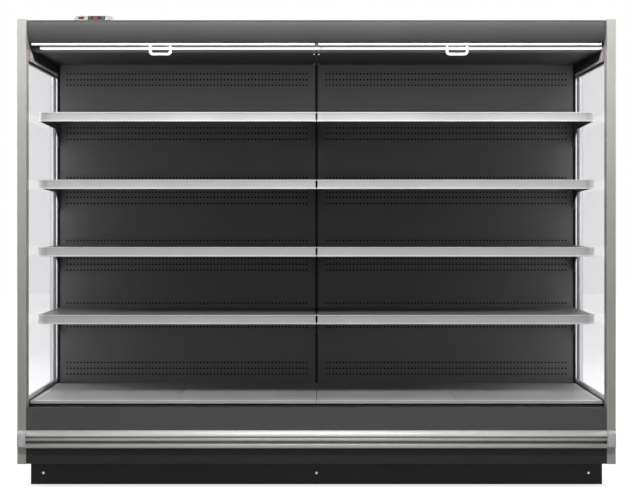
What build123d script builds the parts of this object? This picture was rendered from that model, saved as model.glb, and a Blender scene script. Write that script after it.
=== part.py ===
from build123d import *
import os
from math import atan, cos, radians, sin, sqrt

# Open multideck display fridge, two shelf bays long, in millimetres.
# X runs along the front (left to right), Y runs from the shopper's side (-Y) to the
# rear skin (+Y) and Z is up. The origin is on the floor, under the middle of the cabinet.

# ------------------------------------------------------------------ driving dimensions
bay_length = 1250  # one shelf bay, upright to upright
bay_count = 2
side_thickness = 40  # glazed end wall
cabinet_depth = 850  # bumper front to rear skin
bumper_projection = 20
sheet = 1.5  # folded sheet metal
contact_gap = 0.3  # running gap between pieces that move past each other

foot_height = 50
base_tube = 40  # square and rectangular tube of the base
base_tube_height = 62
kick_setback = 95  # kick plate behind the plane of the posts
kick_floor_gap = 3

skirt_bottom = 108  # lowest edge of the posts and end walls
tub_floor = 43  # insulation under the tub
tub_front = 48.5  # insulation in front of the tub
riser_top = 351
bumper_bottom = 178
bumper_height = 76
deck_top = 370
window_bottom = 378
canopy_top = 2022
post_rise = 4  # posts above the canopy
ceiling_drop = 115  # ceiling below the canopy's top
window_drop = 55  # head of the window below the ceiling

wall_insulation = 70
duct_depth = 58  # cold-air duct between the back panels and the rear wall
roof_thickness = 60
roof_front_setback = 125  # roof slab behind the plane of the posts
panel_sheet = 2  # back panels, ceiling panels and rails

post_depth = 50
post_wall = 2.5

shelf_depth = 517  # price rail front to tray rear
shelf_rear_gap = 10
shelf_top_level = 1636
shelf_pitch = 300
shelf_levels = 4
shelf_flange = 30
shelf_end_gap = 5  # shelf end to end wall
shelf_middle_gap = 3  # between the two bays
shelf_corner = 50  # rounded outer front corner in plan
shelf_inner_corner = 6
rail_height = 41
rail_rise = 2  # price rail above the tray
rail_return = 60  # price rail along the shelf ends
rail_depth = 5  # front of the rail lips to the tray
rail_recess = 3  # label channel behind the lips
rail_top_lip = 4
rail_bottom_lip = 7
tray_sheet = 1.2
hook_drop = 12  # hook seat below the shelf top
bracket_sheet = 2
bracket_shoulder = 46  # shallow arm of a bracket below the shelf top
bracket_root = 95  # where the arm starts to deepen, from the back panels
bracket_heel = 40
bracket_heel_drop = 84
bracket_drop = 128

slot_pitch = 50
slot_height = 38
slot_width = 3
upright_width = 30
upright_web = 14  # bare strip between two back panels

tray_count = 4
tray_gap = 2
tray_flange = 25
side_strip = 22
nosing_front_setback = 81  # deck nosing behind the plane of the posts
nosing_width = 29
nosing_lip = 18
ledge_width = 20

blind_plane_setback = 62  # blind fabric behind the plane of the posts
blind_roll_radius = 29.3
blind_tube_radius = 19
blind_pin_radius = 5
pin_clearance = 0.05
blind_cloth = 0.8
blind_bar_depth = 14
blind_bar_height = 10
blind_bar_drop = 93  # pull bar below the canopy's top
blind_roller_drop = 47
blind_end_gap = 10
blind_middle_gap = 16
handle_width = 98
handle_drop = 43
handle_rod = 11
handle_thickness = 9
handle_from_end = 570  # left handle, from the end wall
handle_from_middle = 612  # right handle, from the middle

lamp_lens_height = 10
lamp_lens_depth = 34
lamp_body_height = 18
lamp_body_depth = 46
lamp_left_gap = 43  # left lamp to the end wall, where a short dark piece fills the gap
lamp_right_gap = 3
lamp_seam = 4

fan_count = 3
fan_hole_radius = 84
fan_tip_radius = 80
fan_hub_radius = 22
fan_shaft_radius = 4
fan_blades = 5

fin_pitch = 50
fin_sheet = 1
coil_end_space = 150  # coil to the end walls
coil_floor_space = 48.5  # liner to the middle of the lower tubes
coil_front_space = 185  # fan plate to the middle of the front tubes
coil_tube_radius = 6
coil_spacing = 60
suction_radius = 11
drain_radius = 20
drain_wall = 2
pipe_stub_bottom = 72
collar_width = 4
collar_height = 5
pipe_from_coil = 45
pipe_spacing = 30
drain_from_rear = 225
gland_from_end = 150
gland_from_rear = 95
riser_fold = 14
lower_fold = 40

glass_thickness = 8
glass_from_inside = 12  # pane behind the inner face of the end wall
seal_width = 8

console_from_end = 282
console_length = 171
console_top_length = 155
console_height = 25
console_setback = 33  # console front behind the plane of the posts
controller_length = 74
controller_width = 26
switch_length = 25
switch_width = 17
key_length = 9
key_width = 5
rocker_angle = 12  # tilt of the switch rocker either way

# ------------------------------------------------------------------ worked-out places
inner_length = bay_length * bay_count
inner_half = inner_length / 2
outer_half = inner_half + side_thickness
front = -cabinet_depth / 2 + bumper_projection  # plane of the posts
rear = cabinet_depth / 2
base_top = foot_height + base_tube_height
tub_bottom = base_top
tub_top_face = tub_bottom + tub_floor
rear_wall_front = rear - wall_insulation
panel_rear = rear_wall_front - duct_depth
panel_front = panel_rear - panel_sheet
skin = front + sheet  # back of the front sheets
tub_wall_rear = skin + tub_front
liner_front = tub_wall_rear + sheet
liner_floor = tub_top_face + sheet
tub_wall_top = riser_top - sheet
roof_bottom = canopy_top - roof_thickness
post_top = canopy_top + post_rise
ceiling_height = canopy_top - ceiling_drop
window_top = ceiling_height - window_drop
blind_bar_top = canopy_top - blind_bar_drop
blind_roller_height = canopy_top - blind_roller_drop
lamp_height = ceiling_height
lamp_left_end = -inner_half + lamp_left_gap
lamp_right_end = inner_half - lamp_right_gap
roof_front = front + roof_front_setback
post_rear = front + post_depth
kick_front = front + kick_setback
nosing_front = front + nosing_front_setback
nosing_rear = nosing_front + nosing_width
ledge_top = deck_top - tray_flange
grille_top = ledge_top - panel_sheet
grille_rear = nosing_rear + ledge_width
bay_signs = {"left": -1, "right": 1}


def block(low, high, mode=Mode.ADD):
    """A box between two opposite corners, for the part in hand."""
    size = [b - a for a, b in zip(low, high)]
    with Locations(tuple((a + b) / 2 for a, b in zip(low, high))):
        Box(*size, mode=mode)


def group(name, pieces):
    """Several separate solids that share one node."""
    solids = [solid for piece in pieces for solid in piece.solids()]
    return Compound(label=name, children=solids)


# ------------------------------------------------------------------ base
# Base: front and rear channels, open towards each other, with hollow cross tubes welded between.
base_half = inner_half - 10
base_front = kick_front + sheet
base_rear = rear - 5
base_wall = 3
foot_columns = [-base_half + base_tube / 2, 0, base_half - base_tube / 2]
cross_columns = [-base_half / 2, base_half / 2]
foot_rows = [base_front + base_tube, base_rear - base_tube]
channel_low = foot_height + base_wall
channel_high = base_top - base_wall


def make_channel(web_front, web_rear, open_front, open_rear):
    """One long channel: its web lies between the first two Y values, its open side at the last two."""
    channel_front, channel_rear = min(web_front, open_front), max(web_rear, open_rear)
    with BuildPart() as channel:
        block((-base_half, channel_front, foot_height), (base_half, channel_rear, base_top))
        block(
            (-base_half - 1, open_front, channel_low),
            (base_half + 1, open_rear, channel_high),
            Mode.SUBTRACT,
        )
    return channel.part


def make_cross_tube(x):
    """A hollow tube from channel to channel, open at both ends."""
    with BuildPart() as tube:
        block((x - base_tube / 2, foot_rows[0], foot_height), (x + base_tube / 2, foot_rows[1], base_top))
        block(
            (x - base_tube / 2 + base_wall, foot_rows[0] - 1, channel_low),
            (x + base_tube / 2 - base_wall, foot_rows[1] + 1, channel_high),
            Mode.SUBTRACT,
        )
    return tube.part


base_frame = group(
    "base_frame",
    [
        make_channel(base_front, base_front + base_wall, base_front + base_wall, foot_rows[0]),
        make_channel(base_rear - base_wall, base_rear, foot_rows[1], base_rear - base_wall),
        *[make_cross_tube(x) for x in (*foot_columns, *cross_columns)],
    ],
)

# Levelling feet: a round pad, a neck and a lock nut under the base.
foot_pad_radius = 28
foot_stud_radius = 8
with BuildPart() as levelling_feet:
    with BuildSketch(Plane.XY) as foot_plan:
        with Locations(*[(x, y) for x in foot_columns for y in foot_rows]):
            Circle(foot_pad_radius)
    extrude(amount=8)
    with BuildSketch(Plane.XY.offset(8)) as stud_plan:
        with Locations(*[(x, y) for x in foot_columns for y in foot_rows]):
            Circle(foot_stud_radius)
    extrude(amount=foot_height - 8)
    with BuildSketch(Plane.XY.offset(foot_height - 14)) as nut_plan:
        with Locations(*[(x, y) for x in foot_columns for y in foot_rows]):
            RegularPolygon(radius=15, side_count=6)
    extrude(amount=9)
levelling_feet.part.label = "levelling_feet"

# Kick plate with its three fixing holes.
kick_screw_height = 53
kick_screw_columns = [-inner_half + 55, 0, inner_half - 60]
screw_radius = 2.5
with BuildPart() as kick_plate:
    block((-inner_half, kick_front, kick_floor_gap), (inner_half, base_front, base_top))
    for x in kick_screw_columns:
        with Locations(Plane.XZ.offset(-kick_front)):
            with Locations((x, kick_screw_height)):
                Cylinder(screw_radius, 3 * sheet, mode=Mode.SUBTRACT)
kick_plate.part.label = "kick_plate"

# ------------------------------------------------------------------ insulated body
coil_columns = 4
coil_y = [grille_rear + coil_front_space + coil_spacing * i for i in range(coil_columns)]
coil_z = [liner_floor + coil_floor_space, liner_floor + coil_floor_space + coil_spacing]
fin_count = 2 * int((inner_half - coil_end_space) / fin_pitch) + 1
coil_half = fin_pitch * (fin_count - 1) / 2
liquid_x = -coil_half - pipe_from_coil
suction_x = liquid_x - pipe_spacing
pipe_y = coil_y[0]
drain_x = 300
drain_y = rear - drain_from_rear
floor_gap = 0.3


def tub_floor_holes(top):
    """Clear holes through the tub floor for the drain and the two refrigerant pipes."""
    for x, y, radius in (
        (liquid_x, pipe_y, coil_tube_radius),
        (suction_x, pipe_y, suction_radius),
    ):
        with Locations((x, y, (tub_bottom + top) / 2)):
            Cylinder(radius + floor_gap, top - tub_bottom + 2, mode=Mode.SUBTRACT)


def stub_collar(x, y, radius):
    """Stop collar of a pipe stub, against the underside of the tub."""
    with Locations((x, y, tub_bottom - collar_height / 2)):
        Cylinder(radius + collar_width, collar_height)


with BuildPart() as insulated_tub:
    with BuildSketch(Plane.YZ.offset(-inner_half)) as tub_profile:
        with BuildLine():
            Polyline(
                (skin, tub_bottom),
                (rear_wall_front, tub_bottom),
                (rear_wall_front, tub_top_face),
                (tub_wall_rear, tub_top_face),
                (tub_wall_rear, tub_wall_top),
                (skin, tub_wall_top),
                close=True,
            )
        make_face()
    extrude(amount=inner_length)
    tub_floor_holes(tub_top_face)
    with Locations((drain_x, drain_y, (tub_bottom + tub_top_face) / 2)):
        Cylinder(drain_radius + floor_gap, tub_floor + 2, mode=Mode.SUBTRACT)
insulated_tub.part.label = "insulated_tub"

# Sheet liner of the tub, open at the top, with the drain spigot set in its floor.
liner_rear = rear_wall_front - sheet
liner_rear_top = 300
with BuildPart() as liner_sheet:
    block((-inner_half, tub_wall_rear, tub_top_face), (inner_half, rear_wall_front, liner_floor))
    block((-inner_half, tub_wall_rear, tub_top_face), (inner_half, liner_front, tub_wall_top))
    block((-inner_half, liner_rear, tub_top_face), (inner_half, rear_wall_front, liner_rear_top))
    tub_floor_holes(liner_floor)
    with Locations((drain_x, drain_y, liner_floor)):
        Cylinder(drain_radius, 4 * sheet, mode=Mode.SUBTRACT)
with BuildPart() as drain_spigot:
    with Locations((drain_x, drain_y, (pipe_stub_bottom + liner_floor) / 2)):
        Cylinder(drain_radius, liner_floor - pipe_stub_bottom)
    stub_collar(drain_x, drain_y, drain_radius)
    with Locations((drain_x, drain_y, (pipe_stub_bottom + liner_floor) / 2)):
        Cylinder(drain_radius - drain_wall, liner_floor - pipe_stub_bottom, mode=Mode.SUBTRACT)
tub_liner = group("tub_liner", [liner_sheet.part, drain_spigot.part])

with BuildPart() as rear_wall:
    block((-inner_half, rear_wall_front, base_top), (inner_half, rear, roof_bottom))
rear_wall.part.label = "rear_wall"

# Roof slab with a downstand at its front, which closes the air duct behind the lamps.
roof_lip = 3
gland_x = -inner_half + gland_from_end
gland_y = rear - gland_from_rear
gland_bore = 5
gland_hole = gland_bore + 3
hanger_half = 25
with BuildPart() as roof_slab:
    with BuildSketch(Plane.YZ.offset(-inner_half)) as roof_profile:
        with BuildLine():
            Polyline(
                (roof_front, canopy_top),
                (rear, canopy_top),
                (rear, roof_bottom),
                (roof_front + roof_lip, roof_bottom),
                (roof_front + roof_lip, ceiling_height),
                (roof_front, ceiling_height),
                close=True,
            )
        make_face()
    extrude(amount=inner_length)
    with Locations((gland_x, gland_y, canopy_top - roof_thickness / 2)):
        Cylinder(gland_hole, roof_thickness + 2, mode=Mode.SUBTRACT)

# ------------------------------------------------------------------ air outlet and ceiling
outlet_cell = 28
outlet_web = 2
outlet_rows = 3
outlet_depth = outlet_rows * (outlet_cell + outlet_web) + 5
ceiling_front = roof_front + roof_lip + outlet_depth + panel_sheet
ceiling_flange = 20
ceiling_seam = 1
ceiling_screw_rows = [ceiling_front + 45, panel_front - 40]
ceiling_screw_column = 10.5
with BuildPart() as roof_hanger:
    block(
        (-hanger_half, ceiling_front, ceiling_height + panel_sheet),
        (hanger_half, panel_rear, roof_bottom),
    )
    block(
        (-hanger_half + 2, ceiling_front - 1, ceiling_height + 2 * panel_sheet),
        (hanger_half - 2, panel_rear + 1, roof_bottom - panel_sheet),
        mode=Mode.SUBTRACT,
    )
    with Locations(*[(s * ceiling_screw_column, y, ceiling_height + 3)
                     for s in (-1, 1) for y in ceiling_screw_rows]):
        Cylinder(screw_radius, 4, mode=Mode.SUBTRACT)
roof_panel = group("roof_panel", [roof_slab.part, roof_hanger.part])

with BuildPart() as ceiling_panels:
    for sign in (-1, 1):
        x_low, x_high = sorted((sign * ceiling_seam / 2, sign * inner_half))
        block(
            (x_low, ceiling_front, ceiling_height),
            (x_high, panel_rear, ceiling_height + panel_sheet),
        )
        block(
            (x_low, ceiling_front - panel_sheet, ceiling_height),
            (x_high, ceiling_front, ceiling_height + ceiling_flange),
        )
        with Locations(*[(sign * ceiling_screw_column, y, ceiling_height) for y in ceiling_screw_rows]):
            Cylinder(screw_radius, 3 * panel_sheet, mode=Mode.SUBTRACT)
ceiling_panels.part.label = "ceiling_panels"

# Air outlet: one grid a bay, standing between the roof downstand and the ceiling flange.
outlet_front = roof_front + roof_lip
outlet_rear = ceiling_front - panel_sheet
outlet_height = 22
outlet_pitch = outlet_cell + outlet_web
outlet_columns = int((bay_length - 20) / outlet_pitch)
with BuildPart() as air_outlet:
    for sign in (-1, 1):
        x_low, x_high = sorted((sign * 2, sign * inner_half))
        outlet_centre = (x_low + x_high) / 2, (outlet_front + outlet_rear) / 2
        block((x_low, outlet_front, ceiling_height), (x_high, outlet_rear, ceiling_height + outlet_height))
        with Locations((*outlet_centre, ceiling_height + outlet_height / 2)):
            with GridLocations(outlet_pitch, outlet_pitch, outlet_columns, outlet_rows):
                Box(outlet_cell, outlet_cell, outlet_height + 2, mode=Mode.SUBTRACT)
air_outlet.part.label = "air_outlet"

# ------------------------------------------------------------------ canopy front
# The fascia runs down from the roof, turns over its top edge and curls under at the foot.
fascia_sheet = 2.5
fascia_front = front + 20
fascia_bend_top = canopy_top - 24
fascia_bottom = blind_bar_top + contact_gap
fascia_curl = 35  # how far the foot of the fascia comes back under
curl_drop = fascia_bend_top - fascia_bottom
curl_angle = 2 * atan(fascia_curl / curl_drop)
curl_radius = curl_drop / sin(curl_angle)
shoulder = 12


def curl_point(inset, share):
    """A point on the curl, drawn in by inset: share 0 is its top and share 1 its foot."""
    reach = curl_radius - inset
    return (
        fascia_front + curl_radius - reach * cos(curl_angle * share),
        fascia_bend_top - reach * sin(curl_angle * share),
    )


with BuildPart() as canopy_fascia:
    with BuildSketch(Plane.YZ.offset(-inner_half)) as fascia_profile:
        with BuildLine():
            for inset in (0, fascia_sheet):
                curl = ThreePointArc(*[curl_point(inset, share) for share in (1, 0.5, 0)])
                face = Line(curl @ 1, (fascia_front + inset, canopy_top - shoulder))
                bend = JernArc(start=face @ 1, tangent=(0, 1), radius=shoulder - inset, arc_size=-90)
                Line(bend @ 1, (roof_front, canopy_top - inset))
            Line(curl_point(0, 1), curl_point(fascia_sheet, 1))
            Line((roof_front, canopy_top), (roof_front, canopy_top - fascia_sheet))
        make_face()
    extrude(amount=inner_length)
    fillet(canopy_fascia.edges().filter_by(Axis.X).sort_by(Axis.Z)[:2], 1)
canopy_fascia.part.label = "canopy_fascia"

# ------------------------------------------------------------------ night blinds
blind_y = front + blind_plane_setback
roller_y = blind_y + blind_roll_radius + contact_gap + blind_cloth / 2
blind_bottom = blind_bar_top - blind_bar_height
bearing_sheet = 4
bearing_hole = blind_pin_radius + pin_clearance
bearing_low = (roller_y - 16, blind_roller_height - 22)
bearing_high = (roller_y + 16, blind_roller_height + 22)
middle_bearing_half = 3

# Bearing plates at the ends, and a middle bearing that hangs from the canopy's top sheet.
with BuildPart() as blind_brackets:
    for sign in (-1, 1):
        x_low, x_high = sorted((sign * (inner_half - bearing_sheet), sign * inner_half))
        block((x_low, bearing_low[0], bearing_low[1]), (x_high, bearing_high[0], bearing_high[1]))
    with BuildSketch(Plane.YZ.offset(-middle_bearing_half)) as middle_bearing:
        with BuildLine():
            Polyline(
                (roof_front, canopy_top - fascia_sheet),
                (blind_y - 12, canopy_top - fascia_sheet),
                (blind_y - 4, blind_bar_top + 12),
                (blind_y - 4, blind_bottom - 7),
                (blind_y + 7, blind_bottom - 7),
                (blind_y + 7, blind_bar_top + 12),
                (roof_front, blind_bar_top + 22),
                close=True,
            )
        make_face()
    extrude(amount=2 * middle_bearing_half)
    with Locations(Plane.YZ):
        with Locations((roller_y, blind_roller_height)):
            Cylinder(bearing_hole, 2 * outer_half, mode=Mode.SUBTRACT)
blind_brackets.part.label = "blind_brackets"


def blind_span(sign):
    """The two ends of one blind along X, nearest the end wall first."""
    return sign * (inner_half - blind_end_gap), sign * blind_middle_gap / 2


def make_roller(side):
    """Spring tube with its two pins, and the cloth wound on it as a separate solid."""
    outer_end, middle_end = blind_span(bay_signs[side])
    x_low, x_high = sorted((outer_end, middle_end))
    pin_low = x_low - (blind_end_gap if side == "left" else blind_middle_gap / 2) + contact_gap
    pin_high = x_high + (blind_end_gap if side == "right" else blind_middle_gap / 2) - contact_gap
    with BuildPart() as tube:
        with BuildSketch(Plane.YZ.offset(x_low)) as tube_ring:
            with Locations((roller_y, blind_roller_height)):
                Circle(blind_tube_radius)
        extrude(amount=x_high - x_low)
        with BuildSketch(Plane.YZ.offset(pin_low)) as pin_ring:
            with Locations((roller_y, blind_roller_height)):
                Circle(blind_pin_radius)
        extrude(amount=pin_high - pin_low)
    with BuildPart() as wound_cloth:
        with BuildSketch(Plane.YZ.offset(x_low + 4)) as cloth_ring:
            with Locations((roller_y, blind_roller_height)):
                Circle(blind_roll_radius)
                Circle(blind_tube_radius, mode=Mode.SUBTRACT)
        extrude(amount=x_high - x_low - 8)
    return group(f"blind_roller_{side}", [tube.part, wound_cloth.part])


def make_bar(side):
    """Pull bar along the foot of the cloth, with its hanging handle as a separate solid."""
    sign = bay_signs[side]
    handle_centre = handle_from_end - inner_half if side == "left" else handle_from_middle
    x_low, x_high = sorted(blind_span(sign))
    with BuildPart() as bar:
        with BuildSketch(Plane.YZ.offset(x_low)) as bar_profile:
            with Locations((blind_y, blind_bar_top - blind_bar_height / 2)):
                RectangleRounded(blind_bar_depth, blind_bar_height, 3)
        extrude(amount=x_high - x_low)
    with BuildPart() as handle:
        with BuildSketch(Plane.XZ.offset(-blind_y - handle_thickness / 2)) as handle_outline:
            with Locations((handle_centre, blind_bottom - handle_drop / 2)):
                Rectangle(handle_width, handle_drop)
                fillet(handle_outline.vertices().group_by(Axis.Y)[0], 17)
            with Locations((handle_centre, blind_bottom - (handle_drop - handle_rod) / 2)):
                Rectangle(handle_width - 2 * handle_rod, handle_drop - handle_rod, mode=Mode.SUBTRACT)
        extrude(amount=handle_thickness)
        grip_floor = blind_bottom - handle_drop + handle_rod
        grip_corners = handle.edges().filter_by(Axis.Y).filter_by_position(
            Axis.Z, grip_floor - 0.1, grip_floor + 0.1
        )
        fillet(grip_corners, 8)
    return group(f"blind_bar_{side}", [bar.part, handle.part])


def make_curtain(side):
    """The stretch of cloth between the roll and the pull bar."""
    x_low, x_high = sorted(blind_span(bay_signs[side]))
    with BuildPart() as curtain:
        block(
            (x_low + 4, blind_y - blind_cloth / 2, blind_bar_top),
            (x_high - 4, blind_y + blind_cloth / 2, blind_roller_height),
        )
    curtain.part.label = f"blind_curtain_{side}"
    return curtain.part


blinds = [make(side) for side in bay_signs for make in (make_roller, make_bar, make_curtain)]

# ------------------------------------------------------------------ canopy lamps
lamp_front = roof_front - lamp_body_depth
lamp_length = (lamp_right_end - lamp_left_end - lamp_seam) / 2
lamp_starts = [lamp_left_end, lamp_right_end - lamp_length]
with BuildPart() as lamp_bodies:
    for start in lamp_starts:
        with BuildSketch(Plane.YZ.offset(start)) as lamp_profile:
            with BuildLine():
                Polyline(
                    (lamp_front, lamp_height + lamp_lens_height),
                    (roof_front, lamp_height + lamp_lens_height),
                    (roof_front, lamp_height + lamp_lens_height + lamp_body_height),
                    (lamp_front + 12, lamp_height + lamp_lens_height + lamp_body_height),
                    (lamp_front, lamp_height + lamp_lens_height + 6),
                    close=True,
                )
            make_face()
        extrude(amount=lamp_length)
    block(
        (-inner_half, lamp_front + 6, lamp_height + 2),
        (lamp_left_end - 6, roof_front, lamp_height + lamp_lens_height + 8),
    )
lamp_bodies.part.label = "lamp_bodies"

with BuildPart() as lamp_lenses:
    for start in lamp_starts:
        with BuildSketch(Plane.YZ.offset(start)) as lens_profile:
            with Locations((lamp_front + lamp_lens_depth / 2, lamp_height + lamp_lens_height / 2)):
                Rectangle(lamp_lens_depth, lamp_lens_height)
                fillet(lens_profile.vertices().group_by(Axis.Y)[0], 4)
        extrude(amount=lamp_length)
lamp_lenses.part.label = "lamp_lenses"

# ------------------------------------------------------------------ lower front
# Riser sheet: folded back over the tub wall at the top.
riser_foot = 222
with BuildPart() as front_riser:
    block((-inner_half, front, riser_foot), (inner_half, skin, riser_top))
    block((-inner_half, front, riser_top - sheet), (inner_half, front + riser_fold, riser_top))
front_riser.part.label = "front_riser"

with BuildPart() as lower_front_panel:
    block((-inner_half, front, skirt_bottom + sheet), (inner_half, skin, riser_foot))
    fold_top = skirt_bottom + 2 * sheet
    block((-inner_half, front, skirt_bottom + sheet), (inner_half, front + lower_fold, fold_top))
lower_front_panel.part.label = "lower_front_panel"

# Bumper extrusion: a broad rounded top rib and two narrow ribs with grooves between them.
bumper_front = front - bumper_projection
bumper_top = bumper_bottom + bumper_height
with BuildPart() as bumper_rail:
    with BuildSketch(Plane.YZ.offset(-inner_half)) as bumper_profile:
        with BuildLine():
            crown = ThreePointArc(
                (front, bumper_top), (front - 13, bumper_top - 6), (bumper_front, bumper_top - 18)
            )
            Polyline(
                crown @ 1,
                (bumper_front, bumper_top - 33),
                (bumper_front + 4, bumper_top - 36),
                (bumper_front + 4, bumper_top - 38),
                (bumper_front, bumper_top - 40),
                (bumper_front, bumper_top - 46),
                (bumper_front + 6, bumper_top - 49),
                (bumper_front + 6, bumper_top - 55),
                (bumper_front, bumper_top - 59),
                (bumper_front, bumper_bottom + 5),
                (bumper_front + 4, bumper_bottom),
                (front, bumper_bottom),
                crown @ 0,
            )
        make_face()
    extrude(amount=inner_length)
bumper_rail.part.label = "bumper_rail"

with BuildPart() as bumper_caps:
    for sign in (-1, 1):
        with BuildSketch(Plane.XZ.offset(-front)) as cap_outline:
            cap_x = sign * (inner_half + side_thickness / 2)
            with Locations((cap_x, bumper_bottom + bumper_height / 2)):
                Rectangle(side_thickness, bumper_height)
            upper_corners = cap_outline.vertices().group_by(Axis.Y)[-1].sort_by(Axis.X)
            fillet(upper_corners[0] if sign < 0 else upper_corners[-1], 14)
        extrude(amount=bumper_projection)
    fillet(bumper_caps.faces().sort_by(Axis.Y)[:2].edges(), 3)
bumper_caps.part.label = "bumper_caps"


# ------------------------------------------------------------------ front posts
with BuildPart() as post_tube:
    with BuildSketch(Plane.XY.offset(skirt_bottom)) as post_section:
        with Locations((inner_half + side_thickness / 2, front + post_depth / 2)):
            Rectangle(side_thickness, post_depth)
        fillet(post_section.vertices().group_by(Axis.Y)[0], 4)
        offset(post_section.sketch, -post_wall, mode=Mode.SUBTRACT)
    extrude(amount=post_top - skirt_bottom - 3)
with BuildPart() as post_cap:
    with BuildSketch(Plane.XY.offset(post_top - 3)) as cap_section:
        with Locations((inner_half + side_thickness / 2, front + post_depth / 2)):
            Rectangle(side_thickness, post_depth)
        fillet(cap_section.vertices().group_by(Axis.Y)[0], 4)
    extrude(amount=3)
posts = []
for side, sign in bay_signs.items():
    if sign > 0:
        pieces = [post_tube.part, post_cap.part]
    else:
        pieces = [mirror(post_tube.part, about=Plane.YZ), mirror(post_cap.part, about=Plane.YZ)]
    posts.append(group(f"front_post_{side}", pieces))

# ------------------------------------------------------------------ glazed end walls
glass_inner = inner_half + glass_from_inside
seal_cover = 4  # rubber on each face of the pane
pane_edge = 4  # pane set into the rubber


def make_casing(side, sign):
    """Insulated end wall with its window cut out, open towards the post."""
    x_low, x_high = sorted((sign * inner_half, sign * outer_half))
    with BuildPart() as casing:
        block((x_low, post_rear, skirt_bottom), (x_high, rear, canopy_top))
        block(
            (x_low - 1, post_rear - 1, window_bottom),
            (x_high + 1, panel_front, window_top),
            Mode.SUBTRACT,
        )
        rear_edges = casing.edges().filter_by(Axis.Z).group_by(Axis.Y)[-1].sort_by(Axis.X)
        fillet(rear_edges[0] if sign < 0 else rear_edges[-1], 6)
    casing.part.label = f"side_casing_{side}"
    return casing.part


def make_pane(side, sign):
    """Clear pane, with its edge in the rubber all round."""
    x_low, x_high = sorted((sign * glass_inner, sign * (glass_inner + glass_thickness)))
    with BuildPart() as pane:
        block(
            (x_low, post_rear + pane_edge, window_bottom + pane_edge),
            (x_high, panel_front - pane_edge, window_top - pane_edge),
        )
    pane.part.label = f"side_glass_{side}"
    return pane.part


def make_seal(sign):
    """Rubber frame that fills the edge of the window and grips the pane."""
    glass_outer = glass_inner + glass_thickness
    x_low, x_high = sorted((sign * (glass_inner - seal_cover), sign * (glass_outer + seal_cover)))
    pane_low, pane_high = sorted((sign * glass_inner, sign * glass_outer))
    with BuildPart() as seal:
        block((x_low, post_rear, window_bottom), (x_high, panel_front, window_top))
        block(
            (x_low - 1, post_rear + seal_width, window_bottom + seal_width),
            (x_high + 1, panel_front - seal_width, window_top - seal_width),
            Mode.SUBTRACT,
        )
        block(
            (pane_low, post_rear + pane_edge, window_bottom + pane_edge),
            (pane_high, panel_front - pane_edge, window_top - pane_edge),
            Mode.SUBTRACT,
        )
    return seal.part


casings = [make_casing(side, sign) for side, sign in bay_signs.items()]
panes = [make_pane(side, sign) for side, sign in bay_signs.items()]
glass_seals = group("glass_seals", [make_seal(sign) for sign in bay_signs.values()])

# Trim along the head of each window, rising to a pale cheek plate beside the blind.
trim_sheet = 3
trim_height = 10
cheek_depth = 114
cheek_rise = 68
cheek_front = blind_y - 20
cheek_rear = cheek_front + cheek_depth
cheek_top = window_top + cheek_rise
with BuildPart() as side_trims:
    for sign in (-1, 1):
        trim_low = min(sign * inner_half, sign * (inner_half - trim_sheet))
        with BuildSketch(Plane.YZ.offset(trim_low)) as trim_outline:
            with BuildLine():
                Polyline(
                    (cheek_front, window_top),
                    (cheek_front, cheek_top),
                    (cheek_rear, window_top + trim_height),
                    (panel_front, window_top + trim_height),
                    (panel_front, window_top),
                    close=True,
                )
            make_face()
        extrude(amount=trim_sheet)
side_trims.part.label = "side_trims"

# ------------------------------------------------------------------ uprights and back panels
upright_wall = 2
end_upright_width = 22
shelf_bracket_outer = inner_half - shelf_end_gap - rail_depth + bracket_sheet / 2
shelf_bracket_middle = shelf_middle_gap / 2 + rail_depth - bracket_sheet / 2
top_seat = shelf_top_level - hook_drop
slots_below = int((top_seat - ledge_top) / slot_pitch) - 1
slots_above = int((ceiling_height - top_seat - slot_height) / slot_pitch)
slot_seats = [top_seat + slot_pitch * i for i in range(-slots_below, slots_above + 1)]


def make_upright(x_low, x_high, columns):
    """Slotted tube between the tub and the ceiling, standing against the rear wall."""
    with BuildPart() as upright:
        block((x_low, panel_rear, liner_floor), (x_high, rear_wall_front - sheet, ceiling_height))
        block(
            (x_low + upright_wall, panel_rear + upright_wall, liner_floor - 1),
            (x_high - upright_wall, rear_wall_front - sheet - upright_wall, ceiling_height + 1),
            Mode.SUBTRACT,
        )
        with Locations(*[(x, panel_rear + upright_wall / 2, seat + slot_height / 2)
                         for x in columns for seat in slot_seats]):
            Box(slot_width, 2 * upright_wall, slot_height, mode=Mode.SUBTRACT)
    return upright.part


middle_columns = [-shelf_bracket_middle, shelf_bracket_middle]
slotted_uprights = group(
    "slotted_uprights",
    [
        make_upright(-inner_half, -inner_half + end_upright_width, [-shelf_bracket_outer]),
        make_upright(-upright_width / 2, upright_width / 2, middle_columns),
        make_upright(inner_half - end_upright_width, inner_half, [shelf_bracket_outer]),
    ],
)

# Back panels: five a bay, with a joint hidden just under each shelf.
panel_joint_drop = 20
panel_joint = 1
shelf_tops = [shelf_top_level - shelf_pitch * level for level in range(shelf_levels)]
panel_seams = sorted(top - panel_joint_drop for top in shelf_tops)
panel_lows = [deck_top + panel_joint, *panel_seams]
panel_highs = [*[seam - panel_joint for seam in panel_seams], ceiling_height]
panel_inner = upright_web / 2
panel_outer = inner_half - upright_web
with BuildPart() as back_panels:
    for sign in (-1, 1):
        x_low, x_high = sorted((sign * panel_inner, sign * panel_outer))
        for low, high in zip(panel_lows, panel_highs):
            block((x_low, panel_front, low), (x_high, panel_rear, high))
back_panels.part.label = "back_panels"

# ------------------------------------------------------------------ deck
tray_front = nosing_rear + 1
tray_rear = panel_front - 5
tray_half = inner_half - side_strip


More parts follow.
